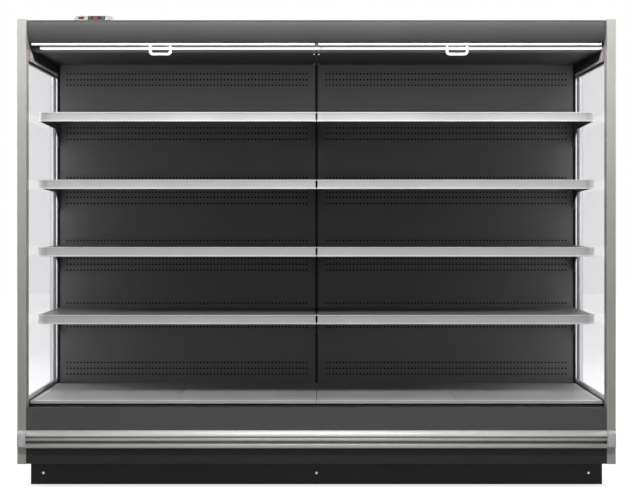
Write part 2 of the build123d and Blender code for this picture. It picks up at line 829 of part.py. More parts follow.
def make_nosing(x_low, x_high):
    """Folded deck nosing: front lip, top strip and the ledge that carries the trays."""
    with BuildPart() as nosing:
        with BuildSketch(Plane.YZ.offset(x_low)) as nosing_profile:
            with BuildLine():
                Polyline(
                    (nosing_front, deck_top - nosing_lip),
                    (nosing_front, deck_top),
                    (nosing_rear, deck_top),
                    (nosing_rear, ledge_top),
                    (grille_rear, ledge_top),
                    (grille_rear, grille_top),
                    (nosing_rear - panel_sheet, grille_top),
                    (nosing_rear - panel_sheet, deck_top - panel_sheet),
                    (nosing_front + panel_sheet, deck_top - panel_sheet),
                    (nosing_front + panel_sheet, deck_top - nosing_lip),
                    close=True,
                )
            make_face()
        extrude(amount=x_high - x_low)
    return nosing.part


def make_side_strip(sign):
    """Narrow angle that closes the deck against the end wall."""
    x_edge, x_wall = sign * (tray_half + 1), sign * inner_half
    x_leg = x_wall - sign * panel_sheet
    with BuildPart() as strip:
        low, high = sorted((x_edge, x_wall))
        block((low, nosing_rear, deck_top - panel_sheet), (high, panel_front, deck_top))
        low, high = sorted((x_leg, x_wall))
        block((low, nosing_rear, ledge_top), (high, panel_front, deck_top))
    return strip.part


with BuildPart() as rear_ledger:
    block((-tray_half, tray_rear - ledge_width, grille_top), (tray_half, panel_rear, ledge_top))
    block((-tray_half, panel_front, grille_top), (tray_half, panel_rear, deck_top))
deck_rails = group(
    "deck_rails",
    [
        make_nosing(-inner_half, -panel_joint / 2),
        make_nosing(panel_joint / 2, inner_half),
        rear_ledger.part,
        make_side_strip(-1),
        make_side_strip(1),
    ],
)

# Lift-out deck trays: sheet with its four edges folded down.
tray_length = (2 * tray_half - (tray_count - 1) * tray_gap) / tray_count
trays = []
for number in range(tray_count):
    start = -tray_half + number * (tray_length + tray_gap)
    with BuildPart() as tray:
        block((start, tray_front, ledge_top), (start + tray_length, tray_rear, deck_top))
        block(
            (start + sheet, tray_front + sheet, ledge_top - 1),
            (start + tray_length - sheet, tray_rear - sheet, deck_top - sheet),
            Mode.SUBTRACT,
        )
    tray.part.label = f"deck_tray_{number + 1}"
    trays.append(tray.part)

# Return-air grille in the slot between the riser and the deck nosing.
intake_slot = (40, 22)
intake_pitch = 50
intake_centre = (liner_front + nosing_front) / 2 - 0.5
with BuildPart() as intake_grille:
    block((-inner_half, liner_front, grille_top - panel_sheet), (inner_half, grille_rear, grille_top))
    block((-inner_half, liner_front, grille_top - 22), (inner_half, liner_front + sheet, grille_top))
    with Locations((0, intake_centre, grille_top)):
        with GridLocations(intake_pitch, 1, int(inner_length / intake_pitch) - 1, 1):
            Box(*intake_slot, 4 * panel_sheet, mode=Mode.SUBTRACT)
intake_grille.part.label = "intake_grille"

# ------------------------------------------------------------------ fans
fan_plate_rear = grille_rear
fan_plate_front = fan_plate_rear - sheet
fan_height = (liner_floor + grille_top - panel_sheet) / 2
fan_spacing = 0.32 * inner_length
fan_columns = [fan_spacing * (i - (fan_count - 1) / 2) for i in range(fan_count)]
fan_plate_top = grille_top - panel_sheet
with BuildPart() as fan_plate:
    block((-inner_half, fan_plate_front, liner_floor), (inner_half, fan_plate_rear, fan_plate_top))
    block(
        (-inner_half, fan_plate_rear, liner_floor),
        (inner_half, fan_plate_rear + 20, liner_floor + sheet),
    )
    for x in fan_columns:
        with Locations(Plane(origin=(x, fan_plate_rear, fan_height), x_dir=(1, 0, 0), z_dir=(0, -1, 0))):
            Cylinder(fan_hole_radius, 6 * sheet, mode=Mode.SUBTRACT)
fan_plate.part.label = "fan_plate"

# Motor, shaft and a mounting bar whose two legs reach the fan plate beside the hole.
motor_front = fan_plate_rear + 25
motor_length = 50
motor_radius = 30
mount_half = fan_hole_radius + 12
mount_bar = 4
mount_low, mount_high = fan_height - 5, fan_height + 5
shaft_front = fan_plate_rear - 15
with BuildPart() as fan_motors:
    for x in fan_columns:
        with BuildSketch(Plane.XZ.offset(-motor_front - motor_length)) as motor_ring:
            with Locations((x, fan_height)):
                Circle(motor_radius)
        extrude(amount=motor_length)
        with BuildSketch(Plane.XZ.offset(-motor_front)) as shaft_ring:
            with Locations((x, fan_height)):
                Circle(fan_shaft_radius)
        extrude(amount=motor_front - shaft_front)
        bar_rear = motor_front + mount_bar
        block((x - mount_half, motor_front, mount_low), (x + mount_half, bar_rear, mount_high))
        for leg in (x - mount_half, x + mount_half - mount_bar):
            block((leg, fan_plate_rear, mount_low), (leg + mount_bar, bar_rear, mount_high))
fan_motors.part.label = "fan_motors"

# Fan rotors: a hub with pitched blades turning in the hole of the fan plate.
hub_depth = 22
blade_pitch = 35
blade_chord = 24
blade_sheet = 2.5
blade_reach = fan_tip_radius - 2
blade_root = fan_hub_radius - 3
rotors = []
for number, x in enumerate(fan_columns):
    hub_plane = Plane(origin=(x, fan_plate_front, fan_height), x_dir=(1, 0, 0), z_dir=(0, -1, 0))
    with BuildPart(hub_plane) as rotor:
        Cylinder(fan_hub_radius, hub_depth)
        with PolarLocations((blade_reach + blade_root) / 2, fan_blades):
            Box(blade_reach - blade_root, blade_chord, blade_sheet, rotation=(blade_pitch, 0, 0))
        Cylinder(fan_shaft_radius + pin_clearance, 2 * hub_depth, mode=Mode.SUBTRACT)
    rotor.part.label = f"fan_rotor_{number + 1}"
    rotors.append(rotor.part)

# ------------------------------------------------------------------ evaporator
coil_places = [(y, coil_z[0]) for y in coil_y] + [(y, coil_z[1]) for y in reversed(coil_y)]
fin_margin = coil_spacing / 2
tube_half = coil_half + 20
bend_radius = coil_spacing / 2
fin_planes = [Plane.YZ.offset(-coil_half + fin_pitch * i) for i in range(fin_count)]
fin_width = coil_y[-1] - coil_y[0] + 2 * fin_margin
fin_top = coil_z[1] + fin_margin
coil_middle = (coil_y[0] + coil_y[-1]) / 2
with BuildPart() as fins:
    with BuildSketch(*fin_planes) as fin_outline:
        with Locations((coil_middle, (coil_z[0] + coil_z[1]) / 2)):
            Rectangle(fin_width, coil_z[1] - coil_z[0] + 2 * fin_margin)
        with Locations(*coil_places):
            Circle(coil_tube_radius + pin_clearance, mode=Mode.SUBTRACT)
    extrude(amount=fin_sheet)
    for x in (-coil_half - 6, coil_half + 6):
        with BuildSketch(Plane.YZ.offset(x)) as end_plate:
            with Locations((coil_middle, (liner_floor + fin_top) / 2)):
                Rectangle(fin_width + 10, fin_top - liner_floor)
            with Locations(*coil_places):
                Circle(coil_tube_radius + pin_clearance, mode=Mode.SUBTRACT)
        extrude(amount=panel_sheet)

# One serpentine tube: straight runs joined by return bends, then the two pipe stubs.
with BuildPart() as coil_tube:
    with BuildSketch(Plane.YZ.offset(-tube_half)) as run_sections:
        with Locations(*coil_places):
            Circle(coil_tube_radius)
    extrude(amount=2 * tube_half)
    for index, (here, there) in enumerate(zip(coil_places, coil_places[1:])):
        outward = 1 if index % 2 == 0 else -1
        across = Vector(0, there[0] - here[0], there[1] - here[1]).normalized()
        centre = (outward * tube_half, (here[0] + there[0]) / 2, (here[1] + there[1]) / 2)
        bend_plane = Plane(origin=centre, x_dir=across, z_dir=across.cross(Vector(outward, 0, 0)))
        with Locations(bend_plane):
            Torus(bend_radius, coil_tube_radius, major_angle=180, align=None)
    for x, z, radius in (
        (liquid_x, coil_z[0], coil_tube_radius),
        (suction_x, coil_z[1], suction_radius),
    ):
        route = [(-tube_half, pipe_y, z), (x, pipe_y, z), (x, pipe_y, pipe_stub_bottom)]
        with BuildLine() as pipe_route:
            FilletPolyline(*route, radius=20)
        with BuildSketch(Plane.YZ.offset(-tube_half)) as pipe_section:
            with Locations((pipe_y, z)):
                Circle(radius)
        sweep(path=pipe_route.line)
        stub_collar(x, pipe_y, radius)
evaporator = group("evaporator", [fins.part, coil_tube.part])

# ------------------------------------------------------------------ shelves
shelf_rear = panel_front - shelf_rear_gap
shelf_front = shelf_rear - shelf_depth
web_face = panel_rear
web_back = panel_rear + upright_wall
hook_neck = 8
nose_gap = 1.5
nose_depth = 3
nose_drop = 6
lower_tab = (20, 12)  # height, and distance above the lower edge of its slot


def shelf_plan(sign, inset, rear_edge):
    """Plan of a shelf drawn in by inset, with its rounded front corners."""
    x_outer = sign * (inner_half - shelf_end_gap - inset)
    x_middle = sign * (shelf_middle_gap / 2 + inset)
    with BuildSketch() as plan:
        with Locations(((x_outer + x_middle) / 2, (shelf_front + inset + rear_edge) / 2)):
            Rectangle(abs(x_outer - x_middle), rear_edge - shelf_front - inset)
        front_corners = plan.vertices().group_by(Axis.Y)[0].sort_by(Axis.X)
        middle_corner, outer_corner = front_corners[::sign]
        fillet(outer_corner, shelf_corner - inset)
        if shelf_inner_corner > inset:
            fillet(middle_corner, shelf_inner_corner - inset)
    return plan.sketch


def make_bracket(x, top):
    """Cantilever bracket with a hook over one slot and a tab in a lower one."""
    seat = top - hook_drop
    tab_bottom = seat - 2 * slot_pitch + lower_tab[1] - 5
    back = web_face - contact_gap
    with BuildPart() as bracket:
        with BuildSketch(Plane.YZ.offset(x - bracket_sheet / 2)) as bracket_outline:
            with BuildLine():
                Polyline(
                    (shelf_front + rail_return + 1, top - 2),
                    (shelf_front + rail_return + 1, top - rail_height + 6),
                    (panel_front - bracket_root, top - bracket_shoulder),
                    (panel_front - bracket_heel, top - bracket_heel_drop),
                    (panel_front - 10, top - bracket_drop),
                    (back, top - bracket_drop),
                    (back, tab_bottom),
                    (web_back + 2, tab_bottom),
                    (web_back + 2, tab_bottom + lower_tab[0]),
                    (back, tab_bottom + lower_tab[0]),
                    (back, seat + contact_gap),
                    (web_back + nose_gap, seat + contact_gap),
                    (web_back + nose_gap, seat - nose_drop),
                    (web_back + nose_gap + nose_depth, seat - nose_drop),
                    (web_back + nose_gap + nose_depth, seat + contact_gap + hook_neck),
                    (back, seat + contact_gap + hook_neck),
                    (back, top - 2),
                    close=True,
                )
            make_face()
        extrude(amount=bracket_sheet)
    return bracket.part


def make_shelf(side, level):
    """Tray, price rail and two brackets of one shelf."""
    sign = bay_signs[side]
    top = shelf_tops[level]
    rail_rear = shelf_front + rail_return
    rail_bottom = top + rail_rise - rail_height
    with BuildPart() as shelf_tray:
        with BuildSketch(Plane.XY.offset(top - shelf_flange)) as tray_outside:
            add(shelf_plan(sign, rail_depth, shelf_rear))
        extrude(amount=shelf_flange)
        with BuildSketch(Plane.XY.offset(top - shelf_flange)) as tray_inside:
            add(shelf_plan(sign, rail_depth + tray_sheet, shelf_rear - tray_sheet))
        extrude(amount=shelf_flange - tray_sheet, mode=Mode.SUBTRACT)
    with BuildPart() as price_rail:
        for low, height, outer in (
            (rail_bottom, rail_height, rail_recess),
            (rail_bottom, rail_bottom_lip, 0),
            (top + rail_rise - rail_top_lip, rail_top_lip, 0),
        ):
            with BuildSketch(Plane.XY.offset(low)) as rail_ring:
                add(shelf_plan(sign, outer, rail_rear))
                add(shelf_plan(sign, rail_depth, rail_rear + 1), mode=Mode.SUBTRACT)
            extrude(amount=height)
    brackets = [make_bracket(sign * x, top) for x in (shelf_bracket_outer, shelf_bracket_middle)]
    return group(f"shelf_{side}_{level + 1}", [shelf_tray.part, price_rail.part, *brackets])


shelves = [make_shelf(side, level) for side in bay_signs for level in range(shelf_levels)]

# ------------------------------------------------------------------ console on the canopy
console_front = front + console_setback
console_lip = 3
slope_rise = console_height - console_lip
slope_centre = (console_front + slope_rise / 2, canopy_top + console_lip + slope_rise / 2)
console_centre = console_from_end - inner_half
switch_centre = console_centre - 53
controller_centre = console_centre + 13
bezel = 1.5


def slope_plane(x, out=0.0):
    """The console's sloping face at x: local X along the cabinet, local Z out of the face."""
    slant = out / sqrt(2)
    return Plane(
        origin=(x, slope_centre[0] - slant, slope_centre[1] + slant), x_dir=(1, 0, 0), z_dir=(0, -1, 1)
    )


switch_body = (switch_length - 1.2, switch_width - 2, 9)
controller_body = (controller_length - 4, controller_width - 3, 8)
with BuildPart() as controller_housing:
    with BuildSketch(Plane.YZ.offset(console_centre - console_length / 2)) as console_profile:
        with BuildLine():
            Polyline(
                (console_front, canopy_top),
                (console_front, canopy_top + console_lip),
                (console_front + slope_rise, canopy_top + console_height),
                (console_front + 72, canopy_top + console_height),
                (console_front + 80, canopy_top),
                close=True,
            )
        make_face()
    extrude(amount=console_length)
    with BuildSketch(Plane.XZ.offset(-console_front - 90)) as console_face:
        with BuildLine():
            Polyline(
                (console_centre - console_length / 2, canopy_top),
                (console_centre + console_length / 2, canopy_top),
                (console_centre + console_top_length / 2, canopy_top + console_height),
                (console_centre - console_top_length / 2, canopy_top + console_height),
                close=True,
            )
        make_face()
    extrude(amount=100, mode=Mode.INTERSECT)
    with Locations(slope_plane(switch_centre, -switch_body[2] / 2)):
        Box(*switch_body, mode=Mode.SUBTRACT)
    with Locations(slope_plane(controller_centre, -controller_body[2] / 2)):
        Box(*controller_body, mode=Mode.SUBTRACT)
controller_housing.part.label = "controller_housing"

# Controller with its display window and two key pockets.
key_x = controller_centre + 27
key_rows = {"up": 4.5, "down": -4.5}
key_fit = 0.3
key_bottom = -2.2
key_proud = 2.6
display_size = (32, 14)


def key_plane(row, out):
    """The centre of one key on the sloping face, at a height out of it."""
    plane = slope_plane(key_x, out)
    return plane.offset(0).shift_origin(plane.from_local_coords((0, row, 0)))


with BuildPart() as controller_case:
    with Locations(slope_plane(controller_centre, -controller_body[2] / 2)):
        Box(*controller_body)
    with Locations(slope_plane(controller_centre, bezel / 2)):
        Box(controller_length, controller_width, bezel)
    with Locations(slope_plane(controller_centre - 2, bezel)):
        Box(*display_size, 1, mode=Mode.SUBTRACT)
    for row in key_rows.values():
        with Locations(key_plane(row, (bezel - 3.6) / 2)):
            Box(key_length + 2 * key_fit, key_width + 2 * key_fit, bezel + 3.6, mode=Mode.SUBTRACT)

# Switch frame: a cavity for the rocker, with two blind holes for its pins.
rocker_half = 9.5
rocker_width = 11.4
rocker_pin = 1.2
rocker_pivot = -3
cavity = (21.8, 12, 8)
with BuildPart() as switch_frame:
    with Locations(slope_plane(switch_centre, -switch_body[2] / 2)):
        Box(*switch_body)
    with Locations(slope_plane(switch_centre, bezel / 2)):
        Box(switch_length, switch_width, bezel)
    with Locations(slope_plane(switch_centre, bezel - (cavity[2] + bezel) / 2)):
        Box(cavity[0], cavity[1], cavity[2] + bezel, mode=Mode.SUBTRACT)
    with Locations(slope_plane(switch_centre, rocker_pivot)):
        Cylinder(rocker_pin + pin_clearance, cavity[1] + 2, rotation=(90, 0, 0), mode=Mode.SUBTRACT)
controller_unit = group("controller_unit", [controller_case.part, switch_frame.part])

keys = []
for name, row in key_rows.items():
    with BuildPart() as key:
        with Locations(key_plane(row, (key_bottom + key_proud) / 2)):
            Box(key_length, key_width, key_proud - key_bottom)
        fillet(key.faces().sort_by(Axis((0, 0, 0), (0, -1, 1)))[-1].edges(), 0.5)
    key.part.label = f"controller_key_{name}"
    keys.append(key.part)

# Rocker: two flats that meet over its pin, stored pressed down on its right-hand side.
tilt_along, tilt_across = cos(radians(rocker_angle)), sin(radians(rocker_angle))
rocker_frame = Plane(
    origin=slope_plane(switch_centre, rocker_pivot).origin,
    x_dir=(tilt_along, tilt_across / sqrt(2), -tilt_across / sqrt(2)),
    z_dir=(tilt_across, -tilt_along / sqrt(2), tilt_along / sqrt(2)),
)
rocker_section = Plane(
    origin=rocker_frame.origin - rocker_frame.y_dir * (rocker_width / 2),
    x_dir=rocker_frame.x_dir,
    z_dir=-rocker_frame.y_dir,
)
with BuildPart() as light_switch:
    with BuildSketch(rocker_section) as rocker_profile:
        with BuildLine():
            Polyline(
                (-rocker_half, 1.8 - rocker_pivot),
                (0, -0.2 - rocker_pivot),
                (rocker_half, 1.8 - rocker_pivot),
                (rocker_half - 1, -2),
                (1 - rocker_half, -2),
                close=True,
            )
        make_face()
    extrude(amount=-rocker_width)
    with Locations(rocker_frame):
        Cylinder(rocker_pin, cavity[1] + 1.4, rotation=(90, 0, 0))
light_switch.part.label = "light_switch"

# Cable inlet on the roof: a hexagon and a round nut with one bore through both.
gland_height = 24
with BuildPart() as cable_gland:
    with BuildSketch(Plane.XY.offset(canopy_top)) as gland_hexagon:
        with Locations((gland_x, gland_y)):
            RegularPolygon(radius=15, side_count=6)
    extrude(amount=10)
    with BuildSketch(Plane.XY.offset(canopy_top + 10)) as gland_nut:
        with Locations((gland_x, gland_y)):
            Circle(11)
    extrude(amount=gland_height - 10)
    with Locations((gland_x, gland_y, canopy_top + gland_height / 2)):
        Cylinder(gland_bore, gland_height + 2, mode=Mode.SUBTRACT)
cable_gland.part.label = "cable_gland"

# ------------------------------------------------------------------ cover screws
screw_head_radius = 5
screw_head_height = 2.5
with BuildPart() as kick_screws:
    for x in kick_screw_columns:
        with BuildSketch(Plane.XZ.offset(-base_front)) as kick_shank:
            with Locations((x, kick_screw_height)):
                Circle(screw_radius - pin_clearance)
        extrude(amount=sheet)
        with BuildSketch(Plane.XZ.offset(-kick_front)) as kick_head:
            with Locations((x, kick_screw_height)):
                Circle(screw_head_radius)
        extrude(amount=screw_head_height)
with BuildPart() as ceiling_screws:
    places = [(s * ceiling_screw_column, y) for s in (-1, 1) for y in ceiling_screw_rows]
    with BuildSketch(Plane.XY.offset(ceiling_height - screw_head_height)) as ceiling_head:
        with Locations(*places):
            Circle(screw_head_radius)
    extrude(amount=screw_head_height)
    with BuildSketch(Plane.XY.offset(ceiling_height)) as ceiling_shank:
        with Locations(*places):
            Circle(screw_radius - pin_clearance)
    extrude(amount=2 * panel_sheet)
cover_screws = group("cover_screws", [kick_screws.part, ceiling_screws.part])

# ------------------------------------------------------------------ written parts
built = [
    levelling_feet, kick_plate, insulated_tub, rear_wall, ceiling_panels,
    air_outlet, canopy_fascia, blind_brackets, lamp_bodies, lamp_lenses, front_riser,
    lower_front_panel, bumper_rail, bumper_caps, side_trims, back_panels, intake_grille,
    fan_plate, fan_motors, controller_housing, light_switch, cable_gland,
]
pieces = [
    *[piece.part for piece in built],
    base_frame, tub_liner, roof_panel, glass_seals, slotted_uprights, deck_rails, evaporator,
    controller_unit, cover_screws,
    *posts, *casings, *panes, *blinds, *trays, *rotors, *shelves, *keys,
]
os.makedirs("parts", exist_ok=True)
for piece in pieces:
    export_step(piece, f"parts/{piece.label}.step")
print(len(pieces), "parts written")
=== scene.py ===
"""Looks of the open multideck display fridge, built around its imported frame.

X runs along the front, Y from the shopper to the rear and Z is up, in metres.
"""
import math
from functools import partial, reduce

import bmesh
import bpy
from bpy.props import FloatProperty, FloatVectorProperty, IntProperty, PointerProperty
from mathutils import Matrix, Vector


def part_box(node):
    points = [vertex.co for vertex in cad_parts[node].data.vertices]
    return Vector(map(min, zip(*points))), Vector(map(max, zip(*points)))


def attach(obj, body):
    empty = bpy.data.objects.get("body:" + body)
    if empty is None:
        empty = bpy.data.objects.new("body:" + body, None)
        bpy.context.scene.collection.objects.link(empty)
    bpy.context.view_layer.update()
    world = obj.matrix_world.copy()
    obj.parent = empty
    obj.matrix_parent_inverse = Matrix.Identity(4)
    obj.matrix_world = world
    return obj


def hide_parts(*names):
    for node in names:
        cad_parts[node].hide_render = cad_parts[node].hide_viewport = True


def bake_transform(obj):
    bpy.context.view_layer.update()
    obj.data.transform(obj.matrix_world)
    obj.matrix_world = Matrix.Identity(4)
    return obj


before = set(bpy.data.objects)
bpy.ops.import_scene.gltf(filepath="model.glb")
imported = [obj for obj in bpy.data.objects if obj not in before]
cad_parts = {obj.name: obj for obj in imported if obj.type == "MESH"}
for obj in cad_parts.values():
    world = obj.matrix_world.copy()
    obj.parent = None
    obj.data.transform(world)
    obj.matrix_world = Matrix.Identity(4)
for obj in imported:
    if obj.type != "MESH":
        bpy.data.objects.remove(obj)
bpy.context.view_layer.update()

bl_info = {
    "name": "Multideck display fridge",
    "version": (1, 0, 0),
    "blender": (4, 5, 0),
    "location": "3D View > Sidebar > Fridge",
    "description": "Punched panels, honeycomb outlet, night blinds, screws and finishes of a display fridge",
    "category": "Object",
}

SIDES = {"left": -1, "right": 1}
GROUPS = {}
FINISHES = {}


# ------------------------------------------------------------------ pieces and their meshes
def link_new(name, mesh):
    """A new object of the scene that holds this mesh."""
    piece = bpy.data.objects.new(name, mesh)
    bpy.context.scene.collection.objects.link(piece)
    return piece


def mesh_piece(name, vertices, faces, material):
    """A piece from plain vertices and faces, with its normals turned outwards."""
    mesh = bpy.data.meshes.new(name)
    mesh.from_pydata([tuple(v) for v in vertices], [], faces)
    form = bmesh.new()
    form.from_mesh(mesh)
    bmesh.ops.recalc_face_normals(form, faces=form.faces)
    form.to_mesh(mesh)
    form.free()
    mesh.materials.append(material)
    return link_new(name, mesh)


def form_piece(name, form, material, place):
    """A piece from an edited form, put in its place."""
    mesh = bpy.data.meshes.new(name)
    form.to_mesh(mesh)
    form.free()
    mesh.transform(place)
    mesh.materials.append(material)
    return link_new(name, mesh)


def blocks(name, boxes, material, bevel=0.0, place=Matrix.Identity(4)):
    """One piece of several square-edged sheets or bars, each from two opposite corners."""
    form = bmesh.new()
    for low, high in boxes:
        for vertex in bmesh.ops.create_cube(form, size=1)["verts"]:
            vertex.co = Vector([(a + b) / 2 + c * (b - a) for a, b, c in zip(low, high, vertex.co)])
    if bevel:
        bmesh.ops.bevel(form, geom=form.edges[:], offset=bevel, segments=2, affect="EDGES")
    return form_piece(name, form, material, place)


def loft_faces(rings, count):
    """Faces of a solid made of equal rings of points, capped at both ends."""
    faces = [
        (ring * count + a, ring * count + b, (ring + 1) * count + b, (ring + 1) * count + a)
        for ring in range(rings - 1) for a, b in zip(range(count), (*range(1, count), 0))
    ]
    last = (rings - 1) * count
    return faces + [tuple(range(count)), tuple(reversed(range(last, last + count)))]


def settle(piece, slot, *replaced, body="cabinet"):
    """The piece moves with its body and stands for the nodes named; its slot is not used."""
    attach(piece, body)
    if replaced:
        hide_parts(*replaced)
    return piece


# ------------------------------------------------------------------ node trees
def feed(tree, node, feeds):
    """Link inputs of a node, or give them their values."""
    for key, value in feeds.items():
        if isinstance(value, bpy.types.NodeSocket):
            tree.links.new(value, node.inputs[key])
        else:
            node.inputs[key].default_value = value


def add(tree, kind, feeds=None, **settings):
    """A node of a tree with its properties set and its inputs fed."""
    node = tree.nodes.new(kind)
    for key, value in settings.items():
        setattr(node, key, value)
    feed(tree, node, feeds or {})
    return node


def new_group(name, kind, inputs, outputs):
    """An empty group: its tree, what it is given and its output node.

    Inputs carry a default, whose kind is theirs too, or the name of a kind that has none.
    """
    tree = bpy.data.node_groups.new(name, kind + "NodeTree")
    for label, default in inputs.items():
        if isinstance(default, tuple):
            sort = "Vector" if len(default) == 3 else "Color"
        else:
            sort = {int: "Int", float: "Float"}.get(type(default), default)
        socket = tree.interface.new_socket(name=label, in_out="INPUT", socket_type="NodeSocket" + sort)
        if default != sort:
            socket.default_value = default
    for label, sort in outputs.items():
        tree.interface.new_socket(name=label, in_out="OUTPUT", socket_type="NodeSocket" + sort)
    return tree, tree.nodes.new("NodeGroupInput").outputs, tree.nodes.new("NodeGroupOutput")


def maths(tree, operation, *values):
    """The result of a sum or a test on up to three values."""
    return add(tree, "ShaderNodeMath", dict(enumerate(values)), operation=operation).outputs[0]


def all_of(tree, *masks):
    """Where every one of some masks holds."""
    return reduce(partial(maths, tree, "MULTIPLY"), masks)


def object_place(tree):
    """A point's place in the frame."""
    return add(tree, "ShaderNodeTexCoord").outputs["Object"]


def axes(tree, given=None):
    """X, Y and Z of a vector, or else of a point's place."""
    whole = object_place(tree) if given is None else given
    return add(tree, "ShaderNodeSeparateXYZ", {0: whole}).outputs


def vector(tree, **parts):
    """A vector from its parts."""
    return add(tree, "ShaderNodeCombineXYZ", parts).outputs[0]


def scaled(tree, given, share):
    """A colour or vector times a value."""
    return add(tree, "ShaderNodeVectorMath", {0: given, "Scale": share}, operation="SCALE").outputs[0]


def noise(tree, place, scale, detail=2.0, roughness=0.5):
    """Noise over a position, as a value from 0 to 1."""
    return add(tree, "ShaderNodeTexNoise", {
        "Vector": place, "Scale": scale, "Detail": detail, "Roughness": roughness,
    }).outputs["Fac"]


def ramp(tree, value, low, high, out_low=0.0, out_high=1.0):
    """A value moved from one span to another and kept inside it."""
    return add(tree, "ShaderNodeMapRange", {
        "Value": value, "From Min": low, "From Max": high, "To Min": out_low, "To Max": out_high,
    }).outputs["Result"]


def bump(tree, height, strength, distance):
    """A normal tilted by a height."""
    return add(tree, "ShaderNodeBump", {
        "Height": height, "Strength": strength, "Distance": distance,
    }).outputs["Normal"]


def blend_colour(tree, share, first, second):
    """Two colours mixed by a share."""
    return add(tree, "ShaderNodeMix", {0: share, 6: first, 7: second}, data_type="RGBA").outputs[2]


def ray_seen(tree):
    """1 for what shows by sight, in a mirror or through glass, and 0 for the light that it gives."""
    path = add(tree, "ShaderNodeLightPath").outputs
    kinds = [path[f"Is {kind} Ray"] for kind in ("Camera", "Glossy", "Transmission")]
    return reduce(partial(maths, tree, "MAXIMUM"), kinds)


# ------------------------------------------------------------------ shader node groups
SURFACE = {"Colour": "Color", "Roughness": "Float", "Normal": "Vector"}
DUST_COLOUR = (0.52, 0.50, 0.46, 1)


def edge_wear(tree, radius):
    """How close a point lies to an edge, read from how a rounded normal turns away there."""
    rounded = add(tree, "ShaderNodeBevel", {"Radius": radius}, samples=4).outputs["Normal"]
    true_normal = add(tree, "ShaderNodeNewGeometry").outputs["Normal"]
    along = add(tree, "ShaderNodeVectorMath", {0: rounded, 1: true_normal}, operation="DOT_PRODUCT")
    return ramp(tree, along.outputs["Value"], 0.999, 0.86)


def coat_group():
    """Powder coat or moulded skin: fine peel, slow cloudiness, dust on top faces and rubbed edges."""
    tree, given, wanted = new_group("Coat grain", "Shader", {
        "Colour": (0.5, 0.5, 0.5, 1), "Worn colour": (0.7, 0.7, 0.7, 1), "Roughness": 0.5, "Grain scale": 900.0,
        "Grain height": 0.1, "Cloudiness": 0.06, "Edge wear": 0.3, "Dust": 0.1,
    }, SURFACE)
    place = object_place(tree)
    cloud = ramp(tree, noise(tree, place, 3.5, 4.0, 0.6), 0.3, 0.7, -1.0, 1.0)
    clouded = scaled(tree, given["Colour"], maths(tree, "MULTIPLY_ADD", cloud, given["Cloudiness"], 1.0))
    scuff = ramp(tree, noise(tree, place, 60.0, 3.0), 0.35, 0.7)
    wear_and_highlight = all_of(tree, edge_wear(tree, 0.0015), scuff, given["Edge wear"])
    worn = blend_colour(tree, wear_and_highlight, clouded, given["Worn colour"])
    lying = ramp(tree, axes(tree, add(tree, "ShaderNodeNewGeometry").outputs["Normal"])["Z"], 0.6, 0.95)
    speck = ramp(tree, noise(tree, place, 140.0, 4.0, 0.7), 0.45, 0.75)
    feed(tree, wanted, {
        "Colour": blend_colour(tree, all_of(tree, lying, speck, given["Dust"]), worn, DUST_COLOUR),
        "Roughness": maths(tree, "MULTIPLY_ADD", cloud, 0.04, given["Roughness"]),
        "Normal": bump(tree, noise(tree, place, given["Grain scale"], 1.5), given["Grain height"], 0.0004),
    })
    return tree


def brushed_group():
    """Drawn or brushed metal: hair lines along one axis, and smudges."""
    tree, given, wanted = new_group("Brushed lines", "Shader", {
        "Colour": (0.6, 0.6, 0.6, 1), "Roughness": 0.35, "Line stretch": (8.0, 900.0, 900.0),
        "Line depth": 0.1, "Smudges": 0.08,
    }, SURFACE)
    place = object_place(tree)
    drawn = add(tree, "ShaderNodeVectorMath", {0: place, 1: given["Line stretch"]}, operation="MULTIPLY")
    lines = noise(tree, drawn.outputs[0], 1.0, 3.0, 0.6)
    smudge = ramp(tree, noise(tree, place, 7.0, 3.0), 0.35, 0.7, -1.0, 1.0)
    feed(tree, wanted, {
        "Colour": scaled(tree, given["Colour"], maths(tree, "MULTIPLY_ADD", lines, 0.16, 0.92)),
        "Roughness": maths(tree, "MULTIPLY_ADD", smudge, given["Smudges"], given["Roughness"]),
        "Normal": bump(tree, lines, given["Line depth"], 0.0003),
    })
    return tree


def weave_group():
    """Plain woven cloth over the piece's own UV map, in threads to the metre."""
    tree, given, wanted = new_group("Plain weave", "Shader", {
        "Colour": (0.6, 0.6, 0.6, 1), "Gap colour": (0.3, 0.3, 0.3, 1), "Threads": 900.0, "Relief": 0.3,
    }, {"Colour": "Color", "Normal": "Vector"})
    flat = add(tree, "ShaderNodeUVMap", uv_map="cloth").outputs["UV"]
    parts = axes(tree, scaled(tree, flat, given["Threads"]))
    waves = [maths(tree, "SINE", maths(tree, "MULTIPLY", parts[axis], math.pi)) for axis in ("X", "Y")]
    height = ramp(tree, all_of(tree, *waves), -1.0, 1.0)
    slub = ramp(tree, noise(tree, flat, 260.0, 2.0), 0.2, 0.8, 0.88, 1.06)
    feed(tree, wanted, {
        "Colour": blend_colour(tree, height, given["Gap colour"], scaled(tree, given["Colour"], slub)),
        "Normal": bump(tree, height, given["Relief"], 0.0002),
    })
    return tree


